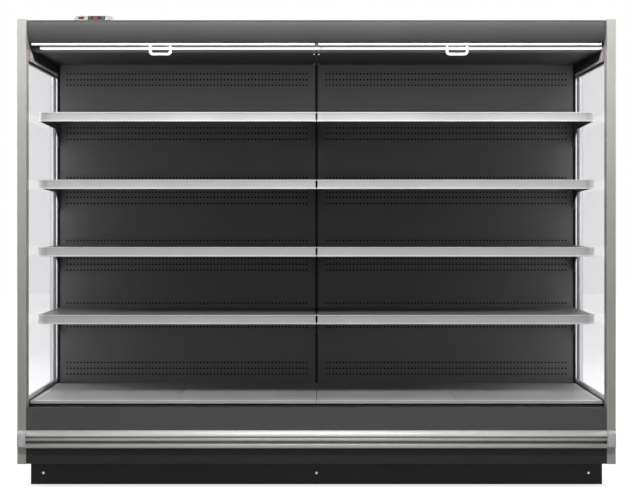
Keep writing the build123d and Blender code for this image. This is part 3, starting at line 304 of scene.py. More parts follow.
def rail_group():
    """Where a shelf is its price rail, which runs round its front and part of its ends, and not its tray, and
    where the rail's recessed channel lies, which gets painted shade.
    """
    tree, given, wanted = new_group("Rail mask", "Shader", {
        "Half length": 1.245, "Front": -0.232, "Corner": 0.05, "Rail depth": 0.0049, "Rail return": 0.0605,
        "Middle": 0.0064,
    }, {"Rail": "Float", "Shaded channel": "Float"})
    sums, place = partial(maths, tree), axes(tree)
    along = sums("ABSOLUTE", place["X"])
    past_end = sums("SUBTRACT", along, sums("SUBTRACT", given["Half length"], given["Corner"]))
    past_front = sums("SUBTRACT", sums("ADD", given["Front"], given["Corner"]), place["Y"])
    squares = [sums("POWER", sums("MAXIMUM", past, 0.0), 2.0) for past in (past_end, past_front)]
    corner_reach = sums("POWER", sums("ADD", *squares), 0.5)
    inside = sums("MINIMUM", sums("MAXIMUM", past_end, past_front), 0.0)
    depth = sums("SUBTRACT", given["Corner"], sums("ADD", corner_reach, inside))
    near_rim = sums("LESS_THAN", depth, given["Rail depth"])
    near_middle = sums("LESS_THAN", along, given["Middle"])
    ahead = sums("LESS_THAN", place["Y"], sums("ADD", given["Front"], given["Rail return"]))
    rail = all_of(tree, sums("MAXIMUM", near_rim, near_middle), ahead)
    # the recessed channel behind the rail's lips, which the shelf coat paints darker as painted shade
    past_lips = sums("GREATER_THAN", depth, sums("MULTIPLY", given["Rail depth"], 0.5))
    feed(tree, wanted, {"Rail": rail, "Shaded channel": all_of(tree, rail, past_lips)})
    return tree


def wall_group():
    """Masks of an end wall: its inner face, and the reveal of its window."""
    tree, given, wanted = new_group("Wall faces", "Shader", {
        "Inner face": 1.2506, "Outer face": 1.2894,
        "Window low": (0.0, -0.3555, 0.3775), "Window high": (0.0, 0.2955, 1.8525),
    }, {"Inner": "Float", "Reveal": "Float"})
    sums, place = partial(maths, tree), axes(tree)
    low, high = axes(tree, given["Window low"]), axes(tree, given["Window high"])
    along = sums("ABSOLUTE", place["X"])
    within = [sums("GREATER_THAN", along, given["Inner face"]), sums("LESS_THAN", along, given["Outer face"])]
    for axis in ("Y", "Z"):
        within += [sums("GREATER_THAN", place[axis], low[axis]), sums("LESS_THAN", place[axis], high[axis])]
    feed(tree, wanted, {
        "Inner": sums("LESS_THAN", along, given["Inner face"]), "Reveal": all_of(tree, *within),
    })
    return tree


# ------------------------------------------------------------------ settings of the add-on
def display_colour(name, description, default):
    """A colour as it shows on the screen."""
    return FloatVectorProperty(
        name=name, description=description, default=default, size=3, min=0, max=1, subtype="COLOR_GAMMA"
    )


def length(name, description, default):
    """A length in metres."""
    return FloatProperty(name=name, description=description, default=default, min=0, unit="LENGTH", precision=4)


def plain_number(name, description, default, **limits):
    """A number without a unit that Blender knows."""
    return FloatProperty(name=name, description=description, default=default, **limits)


def whole_number(name, description, default, least=1):
    """A whole number."""
    return IntProperty(name=name, description=description, default=default, min=least)


class FinishSettings(bpy.types.PropertyGroup):
    """Colours of the cabinet's coated sheets and metals."""

    post: display_colour("Posts", "Satin coat of the two front posts", (0.67, 0.665, 0.65))
    casing: display_colour("End walls", "Satin coat of the glazed end walls", (0.70, 0.70, 0.69))
    graphite: display_colour("Graphite", "Fascia, riser and lower front", (0.472, 0.472, 0.472))
    inside: display_colour("Inside", "Back panels and ceiling", (0.455, 0.455, 0.455))
    rail: display_colour("Price rails", "Silver price rails of the shelves", (0.80, 0.80, 0.80))
    tray: display_colour("Shelf trays", "Trays and brackets of the shelves", (0.40, 0.40, 0.40))
    deck: display_colour("Deck", "Lift-out trays", (0.66, 0.66, 0.66))
    bumper: display_colour("Bumper", "Drawn bumper rail", (0.78, 0.78, 0.77))
    cloth: display_colour("Blind cloth", "Coated night-blind cloth", (0.70, 0.71, 0.72))


class PunchSettings(bpy.types.PropertyGroup):
    """Holes of the punched back panels and cells of the air outlet."""

    hole_radius: length("Hole radius", "Radius of a punched hole", 0.0045)
    hole_pitch: length("Hole pitch", "Distance between holes along a row", 0.0165)
    holes_per_row: whole_number("Holes in a row", "Holes along one row", 71)
    hole_sides: whole_number("Hole sides", "Straight sides of a hole", 8, 3)
    cell_radius: length("Cell radius", "Corner radius of an outlet cell", 0.0062)
    cell_wall: length("Cell wall", "Wall between two outlet cells", 0.0012)


class BlindSettings(bpy.types.PropertyGroup):
    """Night blinds: their cloth and how it is wound."""

    cloth_thickness: length("Cloth thickness", "Thickness of the coated cloth", 0.0006)
    travel: length("Travel", "How far a pull bar goes down", 1.5)
    rows: whole_number("Rows", "Rows of the hanging cloth", 90, 4)
    threads: whole_number("Threads", "Threads to the metre of the cloth", 900)


class ScrewSettings(bpy.types.PropertyGroup):
    """Cross-recess screws of the kick plate and the ceiling, and the rear rivets."""

    head_radius: length("Head radius", "Radius of a screw head", 0.0068)
    head_height: length("Head height", "Height of a screw head", 0.0040)
    ring_radius: length("Ring radius", "Radius of the dark ring round a head", 0.0096)
    rivet_radius: length("Rivet radius", "Radius of a rear rivet", 0.0035)


class StudioSettings(bpy.types.PropertyGroup):
    """Camera, lamps and surroundings."""

    lens: plain_number("Lens", "Focal length in millimetres", 77.1, min=1)
    distance: length("Camera distance", "From the camera to the middle of the fridge", 6.235)
    camera_height: length("Camera height", "From the floor to the camera", 1.181)
    shift: FloatVectorProperty(name="Shift", description="Shift of the picture", default=(-0.0008, -0.056), size=2)
    front_light: plain_number("Front light", "Watts of the broad front light", 11.0)
    top_light: plain_number("Top light", "Watts of the high front light", 60.0)
    canopy_light: plain_number("Canopy light", "Watts of the light under the canopy", 3.5)
    ambient: plain_number("Ambient", "Strength of the plain surroundings", 0.06)


SETTINGS = {
    "fridge_finish": FinishSettings,
    "fridge_punch": PunchSettings,
    "fridge_blind": BlindSettings,
    "fridge_screw": ScrewSettings,
    "fridge_studio": StudioSettings,
}


# ------------------------------------------------------------------ finishes
def grey(level, share=1.0):
    """A colour from one grey level or from three parts, and a share of it."""
    parts = [level] * 3 if isinstance(level, float) else level
    return [c * share for c in parts]


def linear(colour):
    """Scene-linear RGBA of a display colour."""
    return [c / 12.92 if c <= 0.04045 else ((c + 0.055) / 1.055) ** 2.4 for c in colour[:3]] + [1.0]


def principled(name, feeds):
    """A fresh material with some inputs of its shader set; returns it, its tree and its shader."""
    material = bpy.data.materials.new(name)
    material.use_nodes = True
    tree = material.node_tree
    shader = tree.nodes["Principled BSDF"]
    feed(tree, shader, feeds)
    return material, tree, shader


def use_group(tree, shader, group, feeds):
    """A node group placed in a material and wired to the shader's inputs of like names."""
    node = add(tree, "ShaderNodeGroup", feeds, node_tree=group)
    feed(tree, shader, {
        "Base Color" if label == "Colour" else label: socket for label, socket in node.outputs.items()
    })
    return node


def coated(name, colour, roughness=0.5, specular=0.3, **grain):
    """Powder-coated sheet or a moulded plastic; grain sets further inputs of the coat's group."""
    material, tree, shader = principled(name, {"Specular IOR Level": specular})
    colour = grey(colour)
    use_group(tree, shader, GROUPS["coat"], {
        "Colour": linear(colour), "Worn colour": linear([min(1.0, c * 1.25 + 0.04) for c in colour]),
        "Roughness": roughness, **{key.replace("_", " ").capitalize(): value for key, value in grain.items()},
    })
    return material


def coat_colour(material, share, colour):
    """Blend another colour into a coat wherever the share says."""
    tree = material.node_tree
    coat = next(node for node in tree.nodes if node.type == "GROUP" and "Worn colour" in node.inputs)
    base = coat.inputs["Colour"]
    first = base.links[0].from_socket if base.links else tuple(base.default_value)
    feed(tree, coat, {"Colour": blend_colour(tree, share, first, linear(colour))})


def split_coat(name, colour, second, limits, roughness=0.4, specular=0.4, second_specular=None, **grain):
    """A coat that has a second colour where a point passes every limit on its place."""
    material = coated(name, colour, roughness, specular, **grain)
    tree = material.node_tree
    place = dict(axes(tree).items())
    place["|X|"] = maths(tree, "ABSOLUTE", place["X"])
    mask = all_of(tree, *[maths(tree, test, place[axis], limit) for axis, test, limit in limits])
    coat_colour(material, mask, grey(second))
    if second_specular is not None:
        shine = ramp(tree, mask, 0.0, 1.0, specular, second_specular)
        feed(tree, tree.nodes["Principled BSDF"], {"Specular IOR Level": shine})
    return material


def shelf_finish(rail, tray):
    """Dark tray and brackets inside a silver price rail, with painted shade in the rail's recessed channel."""
    material = coated("shelf coat", tray, 0.4, 0.4, dust=0.05)
    tree = material.node_tree
    masks = add(tree, "ShaderNodeGroup", node_tree=GROUPS["rail"]).outputs
    coat_colour(material, masks["Rail"], rail)
    # painted shade: the recessed channel is a darker copy of the rail colour
    coat_colour(material, masks["Shaded channel"], grey(rail, 0.86))
    feed(tree, tree.nodes["Principled BSDF"], {"Metallic": maths(tree, "MULTIPLY", masks["Rail"], 0.3)})
    return material


def casing_finish(outer, inner, reveal):
    """End wall: pale outside, dark inside, and a window reveal lined with polished metal."""
    material = coated("casing coat", outer, 0.42, 0.4, grain_height=0.08)
    tree = material.node_tree
    shader = tree.nodes["Principled BSDF"]
    masks = add(tree, "ShaderNodeGroup", node_tree=GROUPS["wall"]).outputs
    coat_colour(material, masks["Inner"], grey(inner))
    coat_colour(material, masks["Reveal"], reveal)
    matt = shader.inputs["Roughness"].links[0].from_socket
    feed(tree, shader, {
        "Metallic": masks["Reveal"], "Roughness": maths(tree, "MULTIPLY_ADD", masks["Reveal"], -0.3, matt),
    })
    return material


def brushed(name, colour, roughness=0.35, stretch=(8.0, 900.0, 900.0), depth=0.08, smudges=0.06, metallic=1.0):
    """Bare drawn, anodised or plated metal."""
    material, tree, shader = principled(name, {"Metallic": metallic})
    use_group(tree, shader, GROUPS["brushed"], {
        "Colour": linear(colour), "Roughness": roughness, "Line stretch": stretch,
        "Line depth": depth, "Smudges": smudges,
    })
    return material


def bumper_finish(colour, highlight_colour, shoulder, groove_shade_share, crest, bed):
    """Drawn aluminium, with a painted highlight along its top rib and painted shade down in its grooves."""
    material = brushed("bumper aluminium with painted light", colour, 0.38, smudges=0.015, metallic=0.15)
    tree = material.node_tree
    lines = next(node for node in tree.nodes if node.type == "GROUP")
    place = axes(tree)
    # painted shade: the colour darkens from the rib crests down into the grooves
    groove_shade = ramp(tree, place["Y"], crest, bed)
    ribs = blend_colour(tree, groove_shade, linear(colour), linear(grey(colour, groove_shade_share)))
    # painted highlight: a paler colour above the top rib's shoulder
    wear_and_highlight = ramp(tree, place["Z"], shoulder - 0.002, shoulder + 0.002)
    feed(tree, lines, {"Colour": blend_colour(tree, wear_and_highlight, ribs, linear(highlight_colour))})
    return material


def glass_finish():
    """Clear pane: plain transmission, with faint smears in its roughness."""
    material, tree, shader = principled("clear glass", {
        "Base Color": (0.965, 0.97, 0.985, 1), "Transmission Weight": 1.0, "IOR": 1.1,
    })
    smear = ramp(tree, noise(tree, object_place(tree), 5.0, 3.0), 0.4, 0.8, 0.0, 0.05)
    feed(tree, shader, {"Roughness": smear})
    return material


def lens_finish(clip_foot):
    """Frosted lens, lit from behind and slightly uneven, dim where it is clipped into its body."""
    material, tree, shader = principled("lens frosted", {"Emission Strength": 1.0, "Roughness": 0.6})
    place = object_place(tree)
    glow = blend_colour(tree, noise(tree, place, 40.0), (1.0, 0.93, 0.94, 1), (1.0, 0.99, 0.99, 1))
    lit = ramp(tree, axes(tree, place)["Z"], clip_foot, clip_foot + 0.001, 1.0, 0.12)
    glow = scaled(tree, glow, lit)
    frost = bump(tree, noise(tree, place, 1500.0), 0.15, 0.0003)
    feed(tree, shader, {"Base Color": glow, "Emission Color": glow, "Normal": frost})
    return material


def glowing(name, colour, strength):
    """Small lit element behind a tinted window, a little uneven."""
    material, tree, shader = principled(name, {"Emission Strength": strength, "Roughness": 0.3})
    dim = [c * 0.6 for c in linear(colour)[:3]] + [1.0]
    glow = blend_colour(tree, noise(tree, object_place(tree), 900.0), dim, linear(colour))
    feed(tree, shader, {"Base Color": glow, "Emission Color": glow})
    return material


def cloth_finish(colour, threads):
    """Coated weave of the night blinds."""
    material, tree, shader = principled("blind cloth", {
        "Roughness": 0.75, "Specular IOR Level": 0.3, "Sheen Weight": 0.15,
    })
    use_group(tree, shader, GROUPS["weave"], {
        "Colour": linear(colour), "Gap colour": linear(grey(colour, 0.72)),
        "Threads": float(threads), "Relief": 0.35,
    })
    return material


# Coats and plastics with a colour of their own, besides the tub's near-black painted shade: colour, roughness,
# specular level and other grain.
PLAIN_COATS = {
    "upright coat": (0.15, 0.6, 0.2, {}),
    "duct coat": (0.06, 0.7, 0.1, {}),
    # painted shade: the tub is near-black so that the slot below the deck nosing looks dark
    "tub painted shade": (0.06, 0.7, 0.1, {}),
    "outlet coat": ((0.68, 0.66, 0.67), 0.5, 0.25, {"grain_scale": 1600.0}),
    "intake coat": (0.10, 0.6, 0.2, {}),
    "kick black": ((0.115, 0.115, 0.12), 0.5, 0.2, {"dust": 0.2}),
    "cap plastic": ((0.82, 0.82, 0.815), 0.4, 0.5, {"grain_scale": 1400.0}),
    "edge rubber": (0.09, 0.75, 0.3, {"grain_scale": 2500.0, "dust": 0.25}),
    "bar coat": ((0.98, 0.97, 0.96), 0.4, 0.4, {}),
    "bracket coat": (0.42, 0.5, 0.3, {}),
    "sheet-faced foam": ((0.66, 0.66, 0.65), 0.5, 0.3, {"dust": 0.3}),
    "rear coat": ((0.64, 0.64, 0.635), 0.48, 0.3, {"dust": 0.15}),
    "liner coat": (0.60, 0.5, 0.3, {}),
    "base coat": (0.13, 0.55, 0.3, {"edge_wear": 0.6}),
    "fan plate coat": ((0.56, 0.56, 0.55), 0.5, 0.3, {}),
    "motor plastic": (0.08, 0.5, 0.3, {"grain_scale": 1500.0}),
    "rotor plastic": (0.10, 0.4, 0.3, {"grain_scale": 1500.0}),
    "console plastic": ((0.68, 0.68, 0.675), 0.5, 0.3, {"grain_scale": 1800.0}),
    "control gloss": ((0.055, 0.055, 0.06), 0.22, 0.5, {"grain_height": 0.02}),
    "key plastic": ((0.40, 0.40, 0.41), 0.5, 0.3, {"grain_scale": 2500.0}),
    "rocker red": ((0.46, 0.08, 0.07), 0.25, 0.5, {"grain_height": 0.02}),
    "gland plastic": (0.07, 0.5, 0.3, {"grain_scale": 1800.0}),
    "screw ring": (0.05, 0.6, 0.3, {}),
    "tinted window": ((0.09, 0.02, 0.02), 0.12, 0.5, {"grain_height": 0.0}),
}
# Bare metals: colour, roughness, line stretch, line depth and smudges.
PLAIN_METALS = {
    "zinc plate": ((0.68, 0.68, 0.67), 0.4, (400.0, 400.0, 60.0), 0.12, 0.12),
    "coil metal": ((0.78, 0.77, 0.76), 0.45, (300.0, 60.0, 300.0), 0.15, 0.1),
    "screw metal": ((0.82, 0.82, 0.81), 0.3, (600.0, 600.0, 600.0), 0.05),
    "tube steel": ((0.70, 0.70, 0.71), 0.35, (12.0, 700.0, 700.0)),
}
CHEEK = [("Y", "LESS_THAN", -0.2495)]  # the window trims' cheeks lie ahead of their strips
# painted shade: the nosing's lower lip, which hangs in the air slot, is painted near-black and less shiny
NOSING_SHADED_LIP = [("Z", "LESS_THAN", 0.3582), ("Y", "LESS_THAN", -0.31)]  # hangs in the air slot
SEAL_LIP = [("|X|", "LESS_THAN", 1.2595), ("Z", "GREATER_THAN", 0.392)]  # on the shop side, above the foot
# where the bumper's painted highlight starts, and the crests and groove beds of its painted shade
RIB_SHOULDER, RIB_CREST, RIB_BED = 0.2325, -0.4235, -0.4180  # of the bumper rail
LENS_CLIP = 0.0042  # how much of a lens is hidden in its body

NODE_FINISHES = {
    "post coat": "front_post_left front_post_right",
    "casing coat": "side_casing_left side_casing_right",
    "graphite fascia": "canopy_fascia",
    "graphite front": "front_riser",
    "graphite skirt with painted shade": "lower_front_panel",
    "shelf coat": " ".join(f"shelf_{side}_{level}" for side in SIDES for level in (1, 2, 3, 4)),
    "upright coat": "slotted_uprights",
    "ceiling coat with painted shade": "ceiling_panels",
    "deck coat": "deck_tray_1 deck_tray_2 deck_tray_3 deck_tray_4",
    "nosing coat and painted shade": "deck_rails",
    "tub painted shade": "insulated_tub",
    "intake coat": "intake_grille",
    "trim coat": "side_trims",
    "kick black": "kick_plate",
    "clear glass": "side_glass_left side_glass_right",
    "seal rubber": "glass_seals",
    "lens frosted": "lamp_lenses",
    "lamp aluminium": "lamp_bodies",
    "bar coat": "blind_bar_left blind_bar_right",
    "bracket coat": "blind_brackets",
    "sheet-faced foam": "roof_panel",
    "liner coat": "tub_liner",
    "base coat": "base_frame",
    "zinc plate": "levelling_feet",
    "fan plate coat": "fan_plate",
    "motor plastic": "fan_motors",
    "rotor plastic": "fan_rotor_1 fan_rotor_2 fan_rotor_3",
    "coil metal": "evaporator",
    "console plastic": "controller_housing",
    "control gloss": "controller_unit",
    "key plastic": "controller_key_up controller_key_down",
    "rocker red": "light_switch",
    "gland plastic": "cable_gland",
}


class FRIDGE_OT_finishes(bpy.types.Operator):
    """Give every kept CAD piece its finish"""

    bl_idname = "fridge.finishes"
    bl_label = "Finishes"

    def execute(self, context):
        look = context.scene.fridge_finish
        GROUPS.update(coat=coat_group(), brushed=brushed_group(), weave=weave_group(),
                      rail=rail_group(), wall=wall_group())
        lens_low, lens_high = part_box("lamp_lenses")
        FINISHES.update({name: coated(name, *plain, **grain) for name, (*plain, grain) in PLAIN_COATS.items()})
        FINISHES.update({name: brushed(name, *plain) for name, plain in PLAIN_METALS.items()})
        FINISHES.update({
            "post coat": coated("post coat", look.post, 0.36, 0.5, grain_height=0.06),
            "casing coat": casing_finish(look.casing, 0.11, (0.87, 0.87, 0.88)),
            "graphite fascia": coated("graphite fascia", grey(look.graphite, 0.66), 0.45, 0.25),
            "graphite front": coated("graphite front", grey(look.graphite, 0.68)),
            # painted shade: the lower front is a darker copy of the graphite, for the bumper's shadow
            "graphite skirt with painted shade": coated("graphite skirt with painted shade", grey(look.graphite, 0.41), 0.55, 0.15),
            "shelf coat": shelf_finish(look.rail, look.tray),
            "inside coat": coated("inside coat", look.inside, 0.55, 0.2),
            # painted shade: the ceiling is a darker copy of the inside coat
            "ceiling coat with painted shade": coated("ceiling coat with painted shade", grey(look.inside, 0.7), 0.55, 0.2),
            "deck coat": coated("deck coat", look.deck, 0.40, 0.35),
            "trim coat": split_coat("trim coat", 0.74, (0.56, 0.51, 0.52), CHEEK),
            # painted shade: near-black and less shiny on the nosing's lower lip
            "nosing coat and painted shade": split_coat("nosing coat and painted shade", (0.84, 0.84, 0.83), 0.012, NOSING_SHADED_LIP, second_specular=0.05),
            "seal rubber": split_coat("seal rubber", (0.86, 0.86, 0.87), 0.09, SEAL_LIP, 0.6, 0.3,
                                      grain_scale=2500.0),
            "lamp aluminium": split_coat("lamp aluminium", (0.82, 0.81, 0.80), 0.08,
                                         [("X", "LESS_THAN", lens_low.x)]),
            # painted highlight colour of the top rib, and the share of painted shade in the grooves
            "bumper aluminium with painted light": bumper_finish(look.bumper, (0.97, 0.97, 0.965), RIB_SHOULDER, 0.62,
                                              RIB_CREST, RIB_BED),
            "clear glass": glass_finish(),
            "lens frosted": lens_finish(lens_high.z - LENS_CLIP),
            "blind cloth": cloth_finish(look.cloth, context.scene.fridge_blind.threads),
            "red segments": glowing("red segments", (1.0, 0.10, 0.08), 2.0),
            "green lamp": glowing("green lamp", (0.10, 0.85, 0.55), 1.2),
        })
        for finish, names in NODE_FINISHES.items():
            for name in names.split():
                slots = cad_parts[name].data.materials
                if not slots:
                    slots.append(None)
                for index in range(len(slots)):
                    slots[index] = FINISHES[finish]
        return {"FINISHED"}


# ------------------------------------------------------------------ geometry node trees
def shaped(tree, kind, feeds=None, **settings):
    """The first output of a geometry node."""
    return add(tree, "GeometryNode" + kind, feeds, **settings).outputs[0]


def joined(tree, *parts, into="JoinGeometry", socket=0, **settings):
    """Several geometries led into one input of a node."""
    node = add(tree, "GeometryNode" + into, **settings)
    for part in parts:
        tree.links.new(part, node.inputs[socket])
    return node.outputs[0]


def named_attribute(tree, name, sort):
    """An attribute that a mesh carries."""
    return add(tree, "GeometryNodeInputNamedAttribute", {"Name": name}, data_type=sort).outputs["Attribute"]


def painted(tree, geometry, material):
    """A geometry in one material."""
    return shaped(tree, "SetMaterial", {"Geometry": geometry, "Material": material})


def on_facing_points(tree, points, fastener, material, selection=True):
    """A fastener on each point, turned to the point's own facing, as one plain mesh."""
    aimed = add(tree, "FunctionNodeAlignRotationToVector",
                {"Vector": named_attribute(tree, "facing", "FLOAT_VECTOR")}, axis="Z")
    placed = shaped(tree, "InstanceOnPoints", {
        "Points": points, "Instance": fastener, "Rotation": aimed.outputs[0],
    })
    whole = shaped(tree, "RealizeInstances", {"Geometry": placed})
    return shaped(tree, "SetMaterial", {"Geometry": whole, "Selection": selection, "Material": material})


def punched_tree():
    """Sheet with rows of holes: outlines are edges, and each loose vertex starts a row."""
    tree, given, wanted = new_group("Punched sheet", "Geometry", {
        "Geometry": "Geometry", "Hole radius": 0.003, "Hole sides": 8, "Pitch": 0.0165, "Holes in a row": 71,
        "Turn": 0.0, "Thickness": 0.002, "Material": "Material",
    }, {"Geometry": "Geometry"})
    parted = add(tree, "GeometryNodeSeparateGeometry", {
        "Geometry": given["Geometry"], "Selection": named_attribute(tree, "row_start", "BOOLEAN"),
    }, domain="POINT").outputs
    outline = shaped(tree, "MeshToCurve", {"Mesh": parted["Inverted"]})
    line = shaped(tree, "MeshLine", {"Count": given["Holes in a row"], "Offset": vector(tree, X=given["Pitch"])})
    ring = shaped(tree, "CurvePrimitiveCircle", {
        "Resolution": given["Hole sides"], "Radius": given["Hole radius"],
    })
    turned = shaped(tree, "Transform", {"Geometry": ring, "Rotation": vector(tree, Z=given["Turn"])})
    row = shaped(tree, "InstanceOnPoints", {"Points": line, "Instance": turned})
    rows = shaped(tree, "InstanceOnPoints", {"Points": parted["Selection"], "Instance": row})
    holes = shaped(tree, "RealizeInstances", {"Geometry": rows})
    filled = shaped(tree, "FillCurve", {"Curve": joined(tree, holes, outline)})
    raised = shaped(tree, "ExtrudeMesh", {"Mesh": filled, "Offset Scale": given["Thickness"], "Individual": False})
    under = shaped(tree, "FlipFaces", {"Mesh": filled})
    merged = shaped(tree, "MergeByDistance", {"Geometry": joined(tree, raised, under), "Distance": 1e-5})
    whole = shaped(tree, "RealizeInstances", {"Geometry": merged})
    feed(tree, wanted, {"Geometry": painted(tree, whole, given["Material"])})
    return tree


def screw_tree():
    """Cross-recess screws on points, each turned to the point's own facing."""
    tree, given, wanted = new_group("Recessed screws", "Geometry", {
        "Geometry": "Geometry", "Head radius": 0.005, "Head height": 0.0022, "Ring radius": 0.0072,
        "Metal": "Material", "Ring": "Material",
    }, {"Geometry": "Geometry"})
    slot_width, slot_depth, ring_thickness = 0.0011, 0.0024, 0.0011
    head = shaped(tree, "MeshCone", {
        "Vertices": 20, "Radius Top": maths(tree, "MULTIPLY", given["Head radius"], 0.72),
        "Radius Bottom": given["Head radius"], "Depth": given["Head height"],
    })
    slot_reach = maths(tree, "MULTIPLY", given["Head radius"], 1.15)
    lift = vector(tree, Z=given["Head height"])
    bars = []
    for wide, deep in ((slot_reach, slot_width), (slot_width, slot_reach)):
        bar = shaped(tree, "MeshCube", {"Size": vector(tree, X=wide, Y=deep, Z=slot_depth)})
        bars.append(shaped(tree, "Transform", {"Geometry": bar, "Translation": lift}))
    cut = add(tree, "GeometryNodeMeshBoolean", {"Mesh 1": head, "Mesh 2": joined(tree, *bars)},
              operation="DIFFERENCE").outputs[0]
    path = shaped(tree, "CurvePrimitiveCircle", {"Resolution": 20, "Radius": given["Ring radius"]})
    section = shaped(tree, "CurvePrimitiveCircle", {"Resolution": 8, "Radius": ring_thickness})
    ring = shaped(tree, "CurveToMesh", {"Curve": path, "Profile Curve": section})
    screw = joined(tree, painted(tree, cut, given["Metal"]), painted(tree, ring, given["Ring"]))
    feed(tree, wanted, {
        "Geometry": on_facing_points(tree, given["Geometry"], screw, given["Metal"], selection=False),
    })
    return tree


def rivet_tree():
    """Domed rivets on points, each turned to the point's own facing."""
    tree, given, wanted = new_group("Domed rivets", "Geometry", {
        "Geometry": "Geometry", "Rivet radius": 0.0035, "Rivet height": 0.0014, "Material": "Material",
    }, {"Geometry": "Geometry"})
    rim = maths(tree, "MULTIPLY", given["Rivet height"], 0.5)
    foot = shaped(tree, "MeshCylinder", {
        "Vertices": 12, "Radius": given["Rivet radius"], "Depth": given["Rivet height"],
    })
    dome = shaped(tree, "MeshCone", {
        "Vertices": 12, "Radius Top": maths(tree, "MULTIPLY", given["Rivet radius"], 0.62),
        "Radius Bottom": given["Rivet radius"], "Depth": rim,
    })
    raised = shaped(tree, "Transform", {"Geometry": dome, "Translation": vector(tree, Z=rim)})
    rivet = joined(tree, foot, raised, into="MeshBoolean", socket="Mesh 2", operation="UNION")
    feed(tree, wanted, {
        "Geometry": on_facing_points(tree, given["Geometry"], rivet, given["Material"]),
    })
    return tree


def grown(name, seed_mesh, tree, values, place=Matrix.Identity(4)):
    """What a geometry tree makes of a mesh, as a plain mesh piece with its place in its vertices."""
    seed = link_new(name + "_seed", seed_mesh)
    modifier = seed.modifiers.new("shape", "NODES")
    modifier.node_group = tree
    named = {item.name: item.identifier for item in tree.interface.items_tree if item.in_out == "INPUT"}
    for label, value in values.items():
        modifier[named[label]] = value
    bpy.context.view_layer.update()
    done = seed.evaluated_get(bpy.context.evaluated_depsgraph_get())
    mesh = bpy.data.meshes.new_from_object(done)
    mesh.name = name
    seed.modifiers.clear()
    bpy.data.objects.remove(seed)
    bpy.data.meshes.remove(seed_mesh)
    if not mesh.polygons:
        raise RuntimeError(f"{name}: the geometry tree made no faces")
    mesh.transform(place)
    return link_new(name, mesh)


def punch_seed(name, outlines, starts):
    """Rectangles as edge loops and the first hole of each row as a loose vertex."""
    vertices, edges = [], []
    for (x_low, y_low), (x_high, y_high) in outlines:
        first = len(vertices)
        vertices += [(x_low, y_low, 0), (x_high, y_low, 0), (x_high, y_high, 0), (x_low, y_high, 0)]
        edges += [(first + i, first + (i + 1) % 4) for i in range(4)]
    corners = len(vertices)
    vertices += [(x, y, 0) for x, y in starts]
    mesh = bpy.data.meshes.new(name)
    mesh.from_pydata(vertices, edges, [])
    mark = mesh.attributes.new("row_start", "BOOLEAN", "POINT")
    mark.data.foreach_set("value", [i >= corners for i in range(len(vertices))])
    return mesh


def facing_seed(name, points):
    """Loose vertices that each carry the direction their fastener faces."""
    mesh = bpy.data.meshes.new(name)
    mesh.from_pydata([place for place, _ in points], [], [])
    mark = mesh.attributes.new("facing", "FLOAT_VECTOR", "POINT")
    mark.data.foreach_set("vector", [c for _, facing in points for c in facing])
    return mesh


# ------------------------------------------------------------------ punched sheets
PANEL_SEAMS = (0.716, 1.016, 1.316, 1.616)
PANEL_JOINT = 0.001  # left open at each seam
PANEL_INNER = 0.007  # from the middle of the fridge to the panels
PUNCH_ROWS = (
    1.863, 1.834, 1.808, 1.602, 1.576, 1.547, 1.361, 1.333, 1.292, 1.267, 1.237, 1.058, 1.031,
    0.973, 0.944, 0.916, 0.757, 0.730, 0.697, 0.670, 0.642, 0.470, 0.442, 0.414,
)
OUTLET_INNER, OUTLET_BORDER = 0.002, 0.004


class FRIDGE_OT_back_panels(bpy.types.Operator):
    """Back panels punched with rows of round holes, five sheets a bay"""

    bl_idname = "fridge.back_panels"
    bl_label = "Punched back panels"

    def execute(self, context):
        punch = context.scene.fridge_punch
        low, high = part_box("back_panels")
        floors = (low.z, *PANEL_SEAMS)
        heads = (*[seam - PANEL_JOINT for seam in PANEL_SEAMS], high.z)
        row_length = punch.hole_pitch * (punch.holes_per_row - 1)
        half_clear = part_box("kick_plate")[1].x  # between the end walls
        stand_up = Matrix.Translation((0, high.y, 0)) @ Matrix.Rotation(math.radians(90), 4, "X")
        tree = punched_tree()
        for side, sign in SIDES.items():
            left, right = sorted((sign * PANEL_INNER, sign * high.x))
            outlines = [((left, floor), (right, head)) for floor, head in zip(floors, heads)]
            first = (sign * half_clear - row_length) / 2
            seed = punch_seed("panel seed", outlines, [(first, z) for z in PUNCH_ROWS])
            panels = grown(f"back_panels_{side}", seed, tree, {
                "Hole radius": punch.hole_radius, "Hole sides": punch.hole_sides,
                "Pitch": punch.hole_pitch, "Holes in a row": punch.holes_per_row,
                "Thickness": high.y - low.y, "Material": FINISHES["inside coat"],
            }, stand_up)
            settle(panels, "panel_grey", "back_panels")
        return {"FINISHED"}


